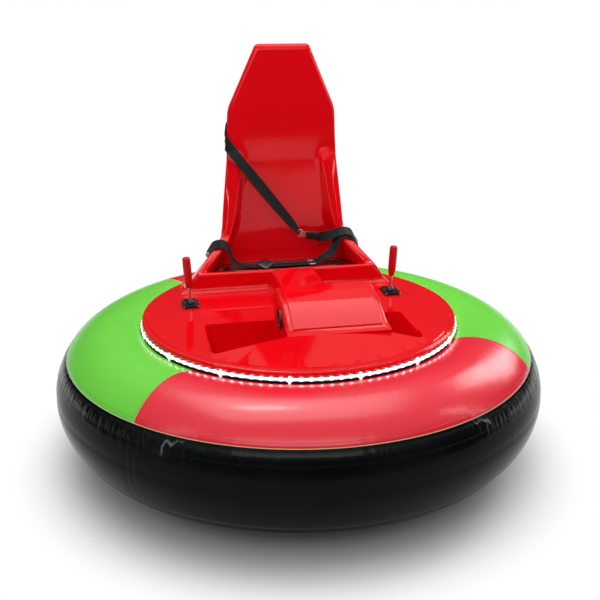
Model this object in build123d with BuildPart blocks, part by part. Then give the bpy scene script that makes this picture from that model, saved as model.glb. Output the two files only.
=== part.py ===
from build123d import *
from math import acos, atan2, cos, radians, sin, sqrt
import os

os.makedirs("parts", exist_ok=True)

# Frame: millimetres, floor at Z = 0, front of the car toward -Y, origin under the ring's centre

# Inflated ring: across it measures twice the hole's radius and twice the tube's diameter
ring_hole_radius = 464
tube_diameter = 486
tube_floor_gap = 57
colour_edge_angle = 36
panel_turn = 6
front_panel_angle = 106
rear_panel_angle = 67

# Running clearances and seats
rest_gap = 0.3
pin_gap = 0.05

# Moulded deck: it laps over the ring's hole and stands above the tube at its skirt
deck_overlap = 147
deck_rise = 51.82
deck_wall = 6
deck_lip_height = 17
deck_lip_overhang = 13
deck_step_width = 18
deck_step = 3
deck_edge_radius = 8

# Worked out from the ring and the deck
tube_radius = tube_diameter / 2
ring_centre = ring_hole_radius + tube_radius
tube_height = tube_floor_gap + tube_radius
colour_edge = tube_height + tube_radius * sin(radians(colour_edge_angle))
deck_radius = ring_hole_radius + deck_overlap
skirt_radius = deck_radius - deck_lip_overhang


def tube_top(radius):
    """Height of the tube's upper surface at a distance from the ring's axis."""
    return tube_height + sqrt(tube_radius**2 - (ring_centre - radius) ** 2)


deck_top = tube_top(skirt_radius) + deck_rise
deck_under = deck_top - deck_wall

# Apron in front of the foot wells
apron_radius = deck_radius - 33
apron_slope = 0.155
apron_rear = -0.54 * deck_radius
apron_half_width = 0.63 * deck_radius

# Console and bridge in the middle of the deck
console_offset = 0.131 * deck_radius
console_width = 0.622 * deck_radius
console_front = -0.609 * deck_radius
console_rear = -85
console_top = deck_top + 121
console_brow = -150
console_brow_height = console_top - 6
console_toe = console_front + 37
console_toe_height = deck_top + 40
console_arc_bulge = 12
console_edge_radius = 18
cover_thickness = 5
cover_inset = 25
cover_lap = 1
cover_edge_radius = 4
bridge_offset = 29
bridge_top_width = 178
bridge_foot_width = 230
bridge_top = deck_top + 81
bridge_edge_radius = 14

# Foot wells
well_depth = 150
well_rear = -108
well_front_outer = -0.674 * deck_radius
well_front_inner = console_front + 4
well_outer = 0.627 * deck_radius
well_floor_outer = well_outer - 33
well_floor_front = apron_rear
well_floor_rear = well_rear - 18
well_corner = 22
well_wall = 6
well_floor = deck_top - well_depth
well_under = well_floor - well_wall

# Seat foot, side rims, pan and back
seat_front = 0.439 * deck_radius
seat_foot_half = 0.728 * deck_radius
seat_lean = 0.8
seat_rear = 0.892 * deck_radius
seat_rear_half = 0.385 * deck_radius
seat_knee = seat_front + 132
seat_knee_half = seat_foot_half - 20
rim_front_height = deck_top + 81
rim_rear = seat_rear - 115
rim_rear_height = rim_front_height + 115
rim_front_width = 28
pan_floor = deck_top + 31
cushion_height = 42
seat_shift = 27
back_half = 0.398 * deck_radius
bolster_top = deck_top + 531
shoulder_height = deck_top + 721
back_top = deck_top + 983
back_slant = 16

# Rim light under the deck lip
light_diameter = 18
light_height = tube_top(skirt_radius) + 20.82
clip_count = 14
clip_width_angle = 1.6
clip_wall = 2.2
clip_foot = 3
clip_turn = -13.6

# Levers
lever_edge_distance = 196
lever_y = 130
lever_plate_width = 67
lever_plate_length = 100
lever_plate_thickness = 6
lever_dome_radius = 19
lever_hole_radius = 23
lever_pin_radius = 4
lever_pin_length = 52
lever_rod_diameter = 11
lever_lean = 3
grip_rise = 65
grip_length = 128
grip_diameter = 33
grip_socket = 60
grip_taper = 14
grip_end_radius = 6

# Running gear
axle_height = 105
drive_wheel_width = 56
drive_track = 680
tyre_thickness = 27
axle_diameter = 20
motor_diameter = 86
motor_length = 120
gearbox_diameter = 100
gearbox_length = 45
bracket_thickness = 8
caster_radius = 50
caster_width = 32
caster_trail = 35
caster_y = ring_hole_radius - 134
caster_pin_diameter = 16
caster_axle_diameter = 10
fork_plate = 4

# Chassis
rail_size = 40
rail_spacing = 440
rail_bottom = 165
rail_half_length = ring_hole_radius - 84
hoop_width = 24
hoop_ring = ring_hole_radius + 52
battery_length = 330
battery_width = 175
battery_height = 150
battery_y = caster_y / 2

# Belts
strap_width = 44
strap_thickness = 2.5

# Worked out from the driving dimensions
light_ring = skirt_radius + rest_gap + light_diameter / 2
lever_x_place = deck_radius - lever_edge_distance
pivot_height = deck_top + lever_plate_thickness
rail_top = rail_bottom + rail_size


# Inflated ring, lower part in black
with BuildPart() as tube_lower:
    with BuildSketch(Plane.XZ):
        with Locations((ring_centre, tube_height)):
            Circle(tube_radius)
        with Locations((ring_centre, colour_edge + tube_radius)):
            Rectangle(2 * tube_diameter, 2 * tube_radius, mode=Mode.SUBTRACT)
    revolve(axis=Axis.Z)
tube_lower.part.label = "tube_lower"
export_step(tube_lower.part, "parts/tube_lower.step")

# Coloured upper panels of the ring: name, start angle from +X, swept angle
front_start = -90 + panel_turn - front_panel_angle / 2
side_panel_angle = (360 - front_panel_angle - rear_panel_angle) / 2
tube_panels = (
    ("tube_panel_front", front_start, front_panel_angle),
    ("tube_panel_right", front_start + front_panel_angle, side_panel_angle),
    ("tube_panel_rear", front_start + front_panel_angle + side_panel_angle, rear_panel_angle),
    ("tube_panel_left", front_start - side_panel_angle, side_panel_angle),
)
for name, start, sweep_angle in tube_panels:
    with BuildPart() as tube_panel:
        with BuildSketch(Plane.XZ.rotated((0, 0, start))):
            with Locations((ring_centre, tube_height)):
                Circle(tube_radius)
            with Locations((ring_centre, colour_edge - tube_radius)):
                Rectangle(2 * tube_diameter, 2 * tube_radius, mode=Mode.SUBTRACT)
        revolve(axis=Axis.Z, revolution_arc=sweep_angle)
    tube_panel.part.label = name
    export_step(tube_panel.part, f"parts/{name}.step")

# Deck plate with its rolled lip and skirt, as a turned profile
skirt_bottom = tube_top(skirt_radius) + rest_gap
lip_bottom = deck_top - deck_lip_height
step_height = deck_top - deck_step
with BuildPart() as deck_plate:
    with BuildSketch(Plane.XZ):
        with BuildLine():
            Polyline(
                (deck_radius, lip_bottom + deck_edge_radius / 2),
                (deck_radius, lip_bottom),
                (skirt_radius, lip_bottom),
                (skirt_radius, skirt_bottom),
                (skirt_radius - deck_wall, skirt_bottom),
                (skirt_radius - deck_wall, lip_bottom),
                (skirt_radius - 2 * deck_wall, deck_under),
                (0, deck_under),
                (0, deck_top),
                (deck_radius - deck_step_width - deck_step, deck_top),
                (deck_radius - deck_step_width, step_height),
                (deck_radius - deck_edge_radius, step_height),
            )
            RadiusArc(
                (deck_radius - deck_edge_radius, step_height),
                (deck_radius, step_height - deck_edge_radius),
                deck_edge_radius,
            )
            Line(
                (deck_radius, step_height - deck_edge_radius),
                (deck_radius, lip_bottom + deck_edge_radius / 2),
            )
        make_face()
    revolve(axis=Axis.Z)


def cone_height(radius):
    """Height of the apron's cone at a distance from the axis."""
    return deck_top + (apron_radius - radius) * apron_slope


def apron_form(inset, base):
    """Raised apron in front of the foot wells, lowered and narrowed by an inset."""
    with BuildPart() as form:
        with BuildSketch(Plane.XZ):
            with BuildLine():
                Polyline(
                    (0, base),
                    (apron_radius - inset, base),
                    (apron_radius - inset, deck_top - inset),
                    (0, cone_height(inset) - inset),
                    close=True,
                )
            make_face()
        revolve(axis=Axis.Z)
        with BuildSketch(Plane.XY.offset(base)):
            with Locations((0, (apron_rear - deck_radius) / 2)):
                Rectangle(2 * (apron_half_width - inset), apron_rear + deck_radius - 2 * inset)
        extrude(amount=2 * console_top - base, mode=Mode.INTERSECT)
    return form.part


def console_form(inset, base, side_inset, edge_radius):
    """Console hump: its side profile drawn across the car, with the long top edges rounded."""
    half = console_width / 2 - side_inset
    arc_y = (console_toe + console_brow) / 2
    arc_height = (console_toe_height + console_brow_height) / 2 + console_arc_bulge
    with BuildPart() as form:
        with BuildSketch(Plane.YZ.offset(console_offset - half)):
            with BuildLine():
                Polyline(
                    (console_brow, console_brow_height - inset),
                    (console_rear - inset, console_top - inset),
                    (console_rear - inset, base),
                    (console_front + inset, base),
                    (console_front + inset, cone_height(-console_front) - inset),
                    (console_toe, console_toe_height - inset),
                )
                ThreePointArc(
                    (console_toe, console_toe_height - inset),
                    (arc_y, arc_height - inset),
                    (console_brow, console_brow_height - inset),
                )
            make_face()
        extrude(amount=2 * half)
        long_edges = form.edges().filter_by(
            lambda edge: abs(abs(edge.center().X - console_offset) - half) < 1e-3
            and edge.center().Z > console_toe_height - inset
            and console_toe < edge.center().Y < console_rear - inset - 1e-3
        )
        fillet(long_edges, radius=edge_radius)
    return form.part


def bridge_form(inset, base, front, rear):
    """Bridge from the console to the seat: a trapezoid section along the car."""
    with BuildPart() as form:
        with BuildSketch(Plane.XZ.offset(-rear)):
            with BuildLine():
                Polyline(
                    (bridge_offset - bridge_foot_width / 2 + inset, base),
                    (bridge_offset - bridge_foot_width / 2 + inset, deck_top),
                    (bridge_offset - bridge_top_width / 2 + inset, bridge_top - inset),
                    (bridge_offset + bridge_top_width / 2 - inset, bridge_top - inset),
                    (bridge_offset + bridge_foot_width / 2 - inset, deck_top),
                    (bridge_offset + bridge_foot_width / 2 - inset, base),
                    close=True,
                )
            make_face()
        extrude(amount=rear - front)
        top_edges = form.edges().filter_by(Axis.Y).group_by(Axis.Z)[-1]
        fillet(top_edges, radius=bridge_edge_radius - inset)
    return form.part


def well_form(side, inset, top):
    """Foot well: tapering pocket with round corners, grown outward by an inset below zero."""
    inner = console_offset + side * console_width / 2
    outer = side * well_outer
    floor_outer = side * well_floor_outer
    with BuildPart() as form:
        with BuildSketch(Plane.XY.offset(well_floor + inset)):
            with BuildLine():
                Polyline(
                    (inner + side * inset, well_floor_rear - inset),
                    (floor_outer - side * inset, well_floor_rear - inset),
                    (floor_outer - side * inset, well_floor_front + inset),
                    (inner + side * inset, well_floor_front + inset),
                    close=True,
                )
            floor_face = make_face()
            fillet(floor_face.vertices(), radius=well_corner - inset)
        with BuildSketch(Plane.XY.offset(deck_top)) as mouth:
            with BuildLine():
                Polyline(
                    (inner + side * inset, well_rear - inset),
                    (outer - side * inset, well_rear - inset),
                    (outer - side * inset, well_front_outer + inset),
                    (inner + side * inset, well_front_inner + inset),
                    close=True,
                )
            mouth_face = make_face()
            fillet(mouth_face.vertices(), radius=well_corner - inset)
        loft()
        extrude(mouth.sketch, amount=top - deck_top)
    return form.part


# Solids that the moulding is cut from
moulding_base = well_floor - 2 * well_wall
apron_outside = apron_form(0, deck_under)
apron_inside = apron_form(deck_wall, deck_top - well_depth)
apron_filled = apron_form(0, moulding_base)
console_outside = console_form(0, deck_under, 0, console_edge_radius)
console_inside = console_form(deck_wall, deck_top - well_depth, deck_wall, console_edge_radius - deck_wall)
console_filled = console_form(0, moulding_base, 0, console_edge_radius)
bridge_outside = bridge_form(0, deck_under, console_rear, seat_front)
bridge_inside = bridge_form(
    deck_wall, deck_top - well_depth, console_rear - deck_wall, seat_front - deck_wall
)
well_pairs = [
    (well_form(side, -well_wall, console_top), well_form(side, 0, 2 * console_top)) for side in (-1, 1)
]

with BuildPart() as both_wells:
    for outside, cavity in well_pairs:
        add(outside)

# Walls of both foot wells, trimmed to the moulding's outer surface
with BuildPart() as well_walls:
    with BuildSketch(Plane.XY.offset(moulding_base)):
        Circle(skirt_radius - 2 * deck_wall)
    extrude(amount=deck_top - moulding_base)
    add(apron_filled)
    add(console_filled)
    add(both_wells.part, mode=Mode.INTERSECT)

# Moulded deck, apron, console hump, bridge and foot wells in one shell
with BuildPart() as body_shell:
    add(deck_plate.part)
    add(apron_outside)
    add(console_outside)
    add(bridge_outside)
    add(apron_inside, mode=Mode.SUBTRACT)
    add(console_inside, mode=Mode.SUBTRACT)
    add(bridge_inside, mode=Mode.SUBTRACT)
    add(well_walls.part)
    for outside, cavity in well_pairs:
        add(cavity, mode=Mode.SUBTRACT)
    with BuildSketch(Plane.XY.offset(deck_under)):
        with Locations((-lever_x_place, lever_y), (lever_x_place, lever_y)):
            Circle(lever_hole_radius)
    extrude(amount=deck_wall, mode=Mode.SUBTRACT)
body_shell.part.label = "body_shell"
export_step(body_shell.part, "parts/body_shell.step")

# Console cover: a skin over the top of the hump, lifted by its rest gap
with BuildPart() as console_cover:
    add(console_form(-cover_thickness - rest_gap, deck_under, cover_inset, cover_edge_radius))
    add(
        console_form(-rest_gap, deck_under, cover_inset - cover_lap, cover_edge_radius / 8),
        mode=Mode.SUBTRACT,
    )
    with BuildSketch(Plane.XZ.offset(-console_rear)):
        with Locations((console_offset, console_top)):
            Rectangle(console_width, 2 * (console_top - deck_top))
    extrude(amount=console_rear - console_toe, mode=Mode.INTERSECT)
console_cover.part.label = "console_cover"
export_step(console_cover.part, "parts/console_cover.step")

# Round port in the console's left wall, with a rim and a recessed face
port_radius = 40
port_rim = 6
port_y = (console_brow + console_toe) / 2 + 27.5
port_z = deck_top + 43
console_left = console_offset - console_width / 2
with BuildPart() as console_port:
    with BuildSketch(Plane.YZ.offset(console_left - rest_gap)):
        with Locations((port_y, port_z)):
            Circle(port_radius)
    extrude(amount=-port_rim)
    with BuildSketch(Plane.YZ.offset(console_left - rest_gap - port_rim)):
        with Locations((port_y, port_z)):
            Circle(port_radius - port_rim)
    extrude(amount=port_rim / 2, mode=Mode.SUBTRACT)
console_port.part.label = "console_port"
export_step(console_port.part, "parts/console_port.step")


def seat_side(height):
    """Half width of the seat's foot at a height: its side walls lean inward."""
    return seat_foot_half - seat_lean * (height - deck_top)


# Seat: a leaning foot with sloping side rims, a tall back, and a pan hollowed out of both
foot_top = rim_rear_height + 55
foot_side_step = 8
foot_least_half = back_half - 12
rim_cut_margin = 60


def seat_middle(height):
    """How far the middle of the seat's foot stands toward +X at a height: none at the deck."""
    return seat_shift * (height - deck_top) / (foot_top - deck_top)


# Columns: height, middle, half width, front edge, rear face
back_sections = (
    (rim_rear_height - 66, 15, seat_side(rim_rear_height - 66) - 22, rim_rear - 15, seat_rear - 6),
    (rim_rear_height, 21, seat_side(rim_rear_height) - 12, rim_rear, seat_rear - 10),
    (bolster_top, 27, back_half, rim_rear + 54, seat_rear - 9),
    (bolster_top + 90, 28, back_half - 3, rim_rear + 78, seat_rear - 5),
    (shoulder_height, 30, back_half - 8, rim_rear + 88, seat_rear - 1),
    (back_top, 38, back_half - 126, rim_rear + 102, seat_rear + 17),
)
# Columns: height, middle, half width of the hollow in front and behind, its rear face
pan_sections = (
    (pan_floor, 9, seat_side(pan_floor) - 76, seat_side(pan_floor) - 147, seat_rear - 83),
    (rim_front_height, 9, seat_side(rim_front_height) - 35, seat_side(rim_front_height) - 120, seat_rear - 65),
    (rim_rear_height, 21, seat_side(rim_rear_height) - 48, seat_side(rim_rear_height) - 60, seat_rear - 45),
    (bolster_top, 27, back_half - 30, back_half - 34, seat_rear - 26),
    (shoulder_height, 30, back_half - 29, back_half - 32, seat_rear - 15),
    (back_top - 16, 38, back_half - 140, back_half - 142, seat_rear),
)
with BuildPart() as seat_shell:
    for height, drop in ((deck_top, 0), (foot_top, seat_lean * (foot_top - deck_top))):
        rear_half = min(seat_rear_half, seat_foot_half - drop - foot_side_step)
        knee_half = max(seat_knee_half - drop, foot_least_half)
        middle = seat_middle(height)
        with BuildSketch(Plane.XY.offset(height)):
            with BuildLine():
                Polyline(
                    (middle - seat_foot_half + drop, seat_front),
                    (middle + seat_foot_half - drop, seat_front),
                    (middle + knee_half, seat_knee),
                    (middle + rear_half, seat_rear),
                    (middle - rear_half, seat_rear),
                    (middle - knee_half, seat_knee),
                    close=True,
                )
            make_face()
    loft(ruled=True)
    with BuildSketch(Plane.YZ.offset(-seat_foot_half)):
        with BuildLine():
            Polyline(
                (seat_front - rim_cut_margin, rim_front_height),
                (seat_front + rim_front_width, rim_front_height),
                (rim_rear, rim_rear_height),
                (rim_rear, foot_top + rim_cut_margin),
                (seat_front - rim_cut_margin, foot_top + rim_cut_margin),
                close=True,
            )
        make_face()
    extrude(amount=2 * seat_foot_half, mode=Mode.SUBTRACT)
    for height, middle, half, front, rear in back_sections:
        with BuildSketch(Plane.XY.offset(height)):
            with BuildLine():
                Polyline(
                    (middle - half, front),
                    (middle + half, front),
                    (middle + half - back_slant, rear),
                    (middle + back_slant - half, rear),
                    close=True,
                )
            make_face()
    loft(ruled=True)
    for height, middle, half, rear_half, rear in pan_sections:
        with BuildSketch(Plane.XY.offset(height)):
            with BuildLine():
                Polyline(
                    (middle - half, seat_front + rim_front_width),
                    (middle + half, seat_front + rim_front_width),
                    (middle + rear_half, rear),
                    (middle - rear_half, rear),
                    close=True,
                )
            make_face()
    loft(ruled=True, mode=Mode.SUBTRACT)
seat_shell.part.label = "seat_shell"
export_step(seat_shell.part, "parts/seat_shell.step")

# Seat cushion in the pan
cushion_gap = 3
cushion_corner = 18
pan_middle, pan_front_half, pan_rear_half = pan_sections[1][1:4]
pan_rear = pan_sections[0][4]
cushion_front = seat_front + rim_front_width + cushion_gap
with BuildPart() as seat_cushion:
    with BuildSketch(Plane.XY.offset(pan_floor + rest_gap)):
        with BuildLine():
            Polyline(
                (pan_middle - pan_front_half + cushion_gap, cushion_front),
                (pan_middle + pan_front_half - cushion_gap, cushion_front),
                (pan_middle + pan_rear_half - cushion_gap, pan_rear - cushion_gap),
                (pan_middle - pan_rear_half + cushion_gap, pan_rear - cushion_gap),
                close=True,
            )
        cushion_outline = make_face()
        fillet(cushion_outline.vertices(), radius=cushion_corner)
    extrude(amount=cushion_height)
seat_cushion.part.label = "seat_cushion"
export_step(seat_cushion.part, "parts/seat_cushion.step")

# Rim light: a rope light round the skirt
with BuildPart() as rim_light:
    with BuildSketch(Plane.XZ):
        with Locations((light_ring, light_height)):
            Circle(light_diameter / 2)
    revolve(axis=Axis.Z)
rim_light.part.label = "rim_light"
export_step(rim_light.part, "parts/rim_light.step")

# Clips that hold the rope light to the skirt
clip_angles = [-90 + clip_turn + index * 360 / clip_count for index in range(clip_count)]
clip_inside = light_diameter / 2 + rest_gap
with BuildPart() as light_clips:
    for angle in clip_angles:
        with BuildSketch(Plane.XZ.rotated((0, 0, angle - clip_width_angle / 2))):
            with Locations((light_ring, light_height)):
                Circle(clip_inside + clip_wall)
            with Locations((skirt_radius + clip_foot / 2 + rest_gap, (light_height + lip_bottom) / 2)):
                Rectangle(clip_foot, lip_bottom - light_height - 2 * rest_gap)
            with Locations((light_ring, light_height)):
                Circle(clip_inside, mode=Mode.SUBTRACT)
            with Locations((skirt_radius + rest_gap - light_diameter, light_height)):
                Rectangle(2 * light_diameter, 4 * light_diameter, mode=Mode.SUBTRACT)
        revolve(axis=Axis.Z, revolution_arc=clip_width_angle)
light_clips.part.label = "light_clips"
export_step(light_clips.part, "parts/light_clips.step")

# Black edge strip between the skirt and the tube
strip_outer = skirt_radius + 14
with BuildPart() as edge_strip:
    with BuildSketch(Plane.XZ):
        with BuildLine():
            Polyline(
                (skirt_radius + rest_gap, tube_top(skirt_radius + rest_gap) + rest_gap),
                (strip_outer, tube_top(strip_outer) + rest_gap),
                (strip_outer, light_height - clip_inside - clip_wall - rest_gap),
                (skirt_radius + rest_gap, light_height - clip_inside - clip_wall - rest_gap),
                close=True,
            )
        make_face()
    revolve(axis=Axis.Z)
edge_strip.part.label = "edge_strip"
export_step(edge_strip.part, "parts/edge_strip.step")

# Levers: base plate on the deck, and dome, rod and grip that rock about the pivot
lever_sides = (("left", -1), ("right", 1))
plate_corner = 8
collar_step = 3
collar_wall = 4
collar_height = 4
rod_start = lever_pin_radius + 3
for name, side in lever_sides:
    lever_x = side * lever_x_place
    stem_up = Vector(0, 0, 1).rotate(Axis.Y, side * lever_lean)
    stem = Plane(origin=(lever_x, lever_y, pivot_height), z_dir=stem_up)
    with BuildPart() as lever_base:
        with BuildSketch(Plane.XY.offset(deck_top)):
            with Locations((lever_x, lever_y)):
                RectangleRounded(lever_plate_width, lever_plate_length, plate_corner)
        extrude(amount=lever_plate_thickness)
        with BuildSketch(Plane.XY.offset(deck_top + lever_plate_thickness)):
            with Locations((lever_x, lever_y)):
                RectangleRounded(
                    lever_plate_width - 2 * collar_step, lever_plate_length - 2 * collar_step, plate_corner - 2
                )
                RectangleRounded(
                    lever_plate_width - 2 * collar_step - 2 * collar_wall,
                    lever_plate_length - 2 * collar_step - 2 * collar_wall,
                    plate_corner - collar_wall,
                    mode=Mode.SUBTRACT,
                )
        extrude(amount=collar_height)
        with Locations((lever_x, lever_y, pivot_height)):
            Sphere(lever_dome_radius + rest_gap, mode=Mode.SUBTRACT)
        with BuildSketch(Plane.YZ.offset(lever_x - lever_pin_length / 2)):
            with Locations((lever_y, pivot_height)):
                Circle(lever_pin_radius)
        extrude(amount=lever_pin_length)
    lever_base.part.label = f"lever_base_{name}"
    export_step(lever_base.part, f"parts/lever_base_{name}.step")
    with BuildPart() as lever_dome:
        with Locations((lever_x, lever_y, pivot_height)):
            Sphere(lever_dome_radius)
        with BuildSketch(Plane.XY.offset(deck_under)):
            with Locations((lever_x, lever_y)):
                Circle(2 * lever_dome_radius)
        extrude(amount=-lever_dome_radius, mode=Mode.SUBTRACT)
        with BuildSketch(stem.offset(rod_start)):
            Circle(lever_rod_diameter / 2 + pin_gap)
        extrude(amount=2 * lever_dome_radius, mode=Mode.SUBTRACT)
        with BuildSketch(Plane.YZ.offset(lever_x - lever_dome_radius)):
            with Locations((lever_y, pivot_height)):
                Circle(lever_pin_radius + pin_gap)
        extrude(amount=2 * lever_dome_radius, mode=Mode.SUBTRACT)
    lever_dome.part.label = f"lever_dome_{name}"
    export_step(lever_dome.part, f"parts/lever_dome_{name}.step")
    with BuildPart() as lever_rod:
        with BuildSketch(stem.offset(rod_start)):
            Circle(lever_rod_diameter / 2)
        extrude(amount=grip_rise + grip_socket - rod_start)
    lever_rod.part.label = f"lever_rod_{name}"
    export_step(lever_rod.part, f"parts/lever_rod_{name}.step")
    with BuildPart() as lever_grip:
        with BuildSketch(stem.offset(grip_rise)):
            Circle(grip_diameter / 2 - grip_end_radius / 2)
        with BuildSketch(stem.offset(grip_rise + grip_taper)):
            Circle(grip_diameter / 2)
        loft()
        with BuildSketch(stem.offset(grip_rise + grip_taper)):
            Circle(grip_diameter / 2)
        extrude(amount=grip_length - grip_taper)
        top_edge = lever_grip.edges().filter_by(GeomType.CIRCLE).sort_by(Axis.Z)[-1]
        fillet(top_edge, radius=grip_end_radius)
        with BuildSketch(stem.offset(grip_rise)):
            Circle(lever_rod_diameter / 2 + pin_gap)
        extrude(amount=grip_socket + rest_gap, mode=Mode.SUBTRACT)
    lever_grip.part.label = f"lever_grip_{name}"
    export_step(lever_grip.part, f"parts/lever_grip_{name}.step")

def strap_plane(start, end, facing):
    """Plane midway between two points, its X along the strap and its Z near a facing direction."""
    along = (end - start).normalized()
    return Plane(origin=(start + end) / 2, x_dir=along, z_dir=facing - along * facing.dot(along))


def ribbon(points, thickness):
    """Closed outline of a band of even thickness along an open path, mitred at its corners."""
    path = [Vector(x, y, 0) for x, y in points]
    sides = [(b - a).normalized().rotate(Axis.Z, 90) for a, b in zip(path, path[1:])]
    normals = [sides[0]] + [(a + b) / (1 + a.dot(b)) for a, b in zip(sides, sides[1:])] + [sides[-1]]
    half = thickness / 2
    left = [p + n * half for p, n in zip(path, normals)]
    right = [p - n * half for p, n in zip(path, normals)]
    return [(p.X, p.Y) for p in left + right[::-1]]


# Belt wraps over the seat's side rims, in a sketch plane square to each rim
rim_pitch = atan2(rim_rear_height - rim_front_height, rim_rear - seat_front - rim_front_width)
wrap_gap = rest_gap + strap_thickness / 2
wrap_inside = 60
wrap_drop = 40
wrap_planes = []
for name, side, wrap_y in (("left", -1, rim_rear - 38), ("right", 1, rim_rear - 18)):
    wrap_z = rim_front_height + (wrap_y - seat_front - rim_front_width) * sin(rim_pitch) / cos(rim_pitch)
    wrap_x = seat_middle(wrap_z) + side * seat_side(wrap_z)
    lean = seat_lean - side * seat_shift / (foot_top - deck_top)
    rim_up = Vector(0, -sin(rim_pitch), cos(rim_pitch))
    rim_along = Vector(-side * lean * sin(rim_pitch), cos(rim_pitch), sin(rim_pitch)).normalized()
    outward = rim_along.cross(rim_up) * side
    wall = Vector(side, 0, lean).normalized()
    wall_x = wall.dot(outward)
    wall_y = wall.dot(rim_up)
    corner_x = wrap_gap * (1 - wall_y) / wall_x
    rim_plane = Plane(origin=(wrap_x, wrap_y, wrap_z), x_dir=outward, z_dir=outward.cross(rim_up))
    wrap_planes.append(rim_plane)
    with BuildPart() as belt_wrap:
        with BuildSketch(rim_plane):
            with BuildLine():
                Polyline(
                    *ribbon(
                        (
                            (-wrap_inside, -wrap_drop),
                            (-wrap_inside, wrap_gap),
                            (corner_x, wrap_gap),
                            (corner_x + wall_y * wrap_drop, wrap_gap - wall_x * wrap_drop),
                        ),
                        strap_thickness,
                    ),
                    close=True,
                )
            make_face()
        extrude(amount=strap_width / 2, both=True)
    belt_wrap.part.label = f"belt_wrap_{name}"
    export_step(belt_wrap.part, f"parts/belt_wrap_{name}.step")

# Lap belt along the cushion, with its adjuster and slide
cushion_top = pan_floor + rest_gap + cushion_height
lap_y = cushion_front + 56
lap_z = cushion_top + rest_gap + strap_thickness / 2
lap_half = pan_rear_half - 70
lap_end_rise = 30
lap_end_reach = 22
with BuildPart() as lap_belt:
    with BuildSketch(Plane.XZ.offset(-lap_y - strap_width / 2)):
        with BuildLine():
            Polyline(
                *ribbon(
                    (
                        (-lap_half - lap_end_reach, lap_z + lap_end_rise),
                        (-lap_half, lap_z + lap_end_rise / 7),
                        (-lap_half + lap_end_rise, lap_z),
                        (lap_half - 2 * lap_end_reach, lap_z),
                        (lap_half - lap_end_reach / 3, lap_z + lap_end_rise / 2),
                        (lap_half + lap_end_reach / 2, lap_z + lap_end_rise),
                    ),
                    strap_thickness,
                ),
                close=True,
            )
        make_face()
    extrude(amount=strap_width)
lap_belt.part.label = "lap_belt"
export_step(lap_belt.part, "parts/lap_belt.step")
adjuster_size = 52
adjuster_corner = 6
adjuster_thickness = 7
adjuster_x = -75
with BuildPart() as lap_adjuster:
    with BuildSketch(Plane.XY.offset(lap_z + strap_thickness / 2 + rest_gap)):
        with Locations((adjuster_x, lap_y)):
            adjuster_outline = Rectangle(adjuster_size, adjuster_size, rotation=45)
        fillet(adjuster_outline.vertices(), radius=adjuster_corner)
    extrude(amount=adjuster_thickness)
lap_adjuster.part.label = "lap_adjuster"
export_step(lap_adjuster.part, "parts/lap_adjuster.step")
slide_x = 126
slide_width = 26
slide_wire = 6
slide_thickness = 3
with BuildPart() as lap_slide:
    with BuildSketch(Plane.XY.offset(lap_z + strap_thickness / 2 + rest_gap)):
        with Locations((slide_x, lap_y)):
            RectangleRounded(slide_width, strap_width + 2 * slide_wire, slide_wire - 2)
            Rectangle(slide_width - 2 * slide_wire - 4, strap_width + 1, mode=Mode.SUBTRACT)
    extrude(amount=slide_thickness)
lap_slide.part.label = "lap_slide"
export_step(lap_slide.part, "parts/lap_slide.step")

# Shoulder belt round the back's left edge, then across to the tongue
tongue_x = 88
tongue_length = 26
tongue_margin = 14
tongue_thickness = 3
tongue_fold = 11
buckle_length = 62
buckle_margin = 6
buckle_thickness = 16
rear_run = 45
edge_part = 0.52
stand_off = rest_gap + strap_thickness / 2 + 4
low_row, high_row = back_sections[2:4]
edge_low = Vector(low_row[1] - low_row[2], low_row[3], low_row[0])
edge_high = Vector(high_row[1] - high_row[2], high_row[3], high_row[0])
edge_point = edge_low + (edge_high - edge_low) * edge_part
edge_up = (edge_high - edge_low).normalized()
rear_up = Vector(edge_high.X - edge_low.X, high_row[4] - low_row[4], high_row[0] - low_row[0]).normalized()
depth_low = low_row[4] - low_row[3]
side_depth = depth_low + (high_row[4] - high_row[3] - depth_low) * edge_part
side_run = Vector(back_slant, side_depth, 0)
side_out = edge_up.cross(side_run).normalized()
tongue_start = Vector(tongue_x, rim_rear - 6, rim_rear_height - 3)
shoulder_start = edge_point + Vector(1, 0, 0).cross(edge_up).normalized() * stand_off
shoulder_run = tongue_start - shoulder_start
strap_angle = acos(-shoulder_run.normalized().dot(edge_up))
half_height = strap_width / 2 / sin(strap_angle)
climb = cos(strap_angle) / sin(strap_angle)
corner = stand_off + strap_thickness / 2
side_rise = side_run.length * climb
rear_rise = side_rise + rear_run * climb
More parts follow.
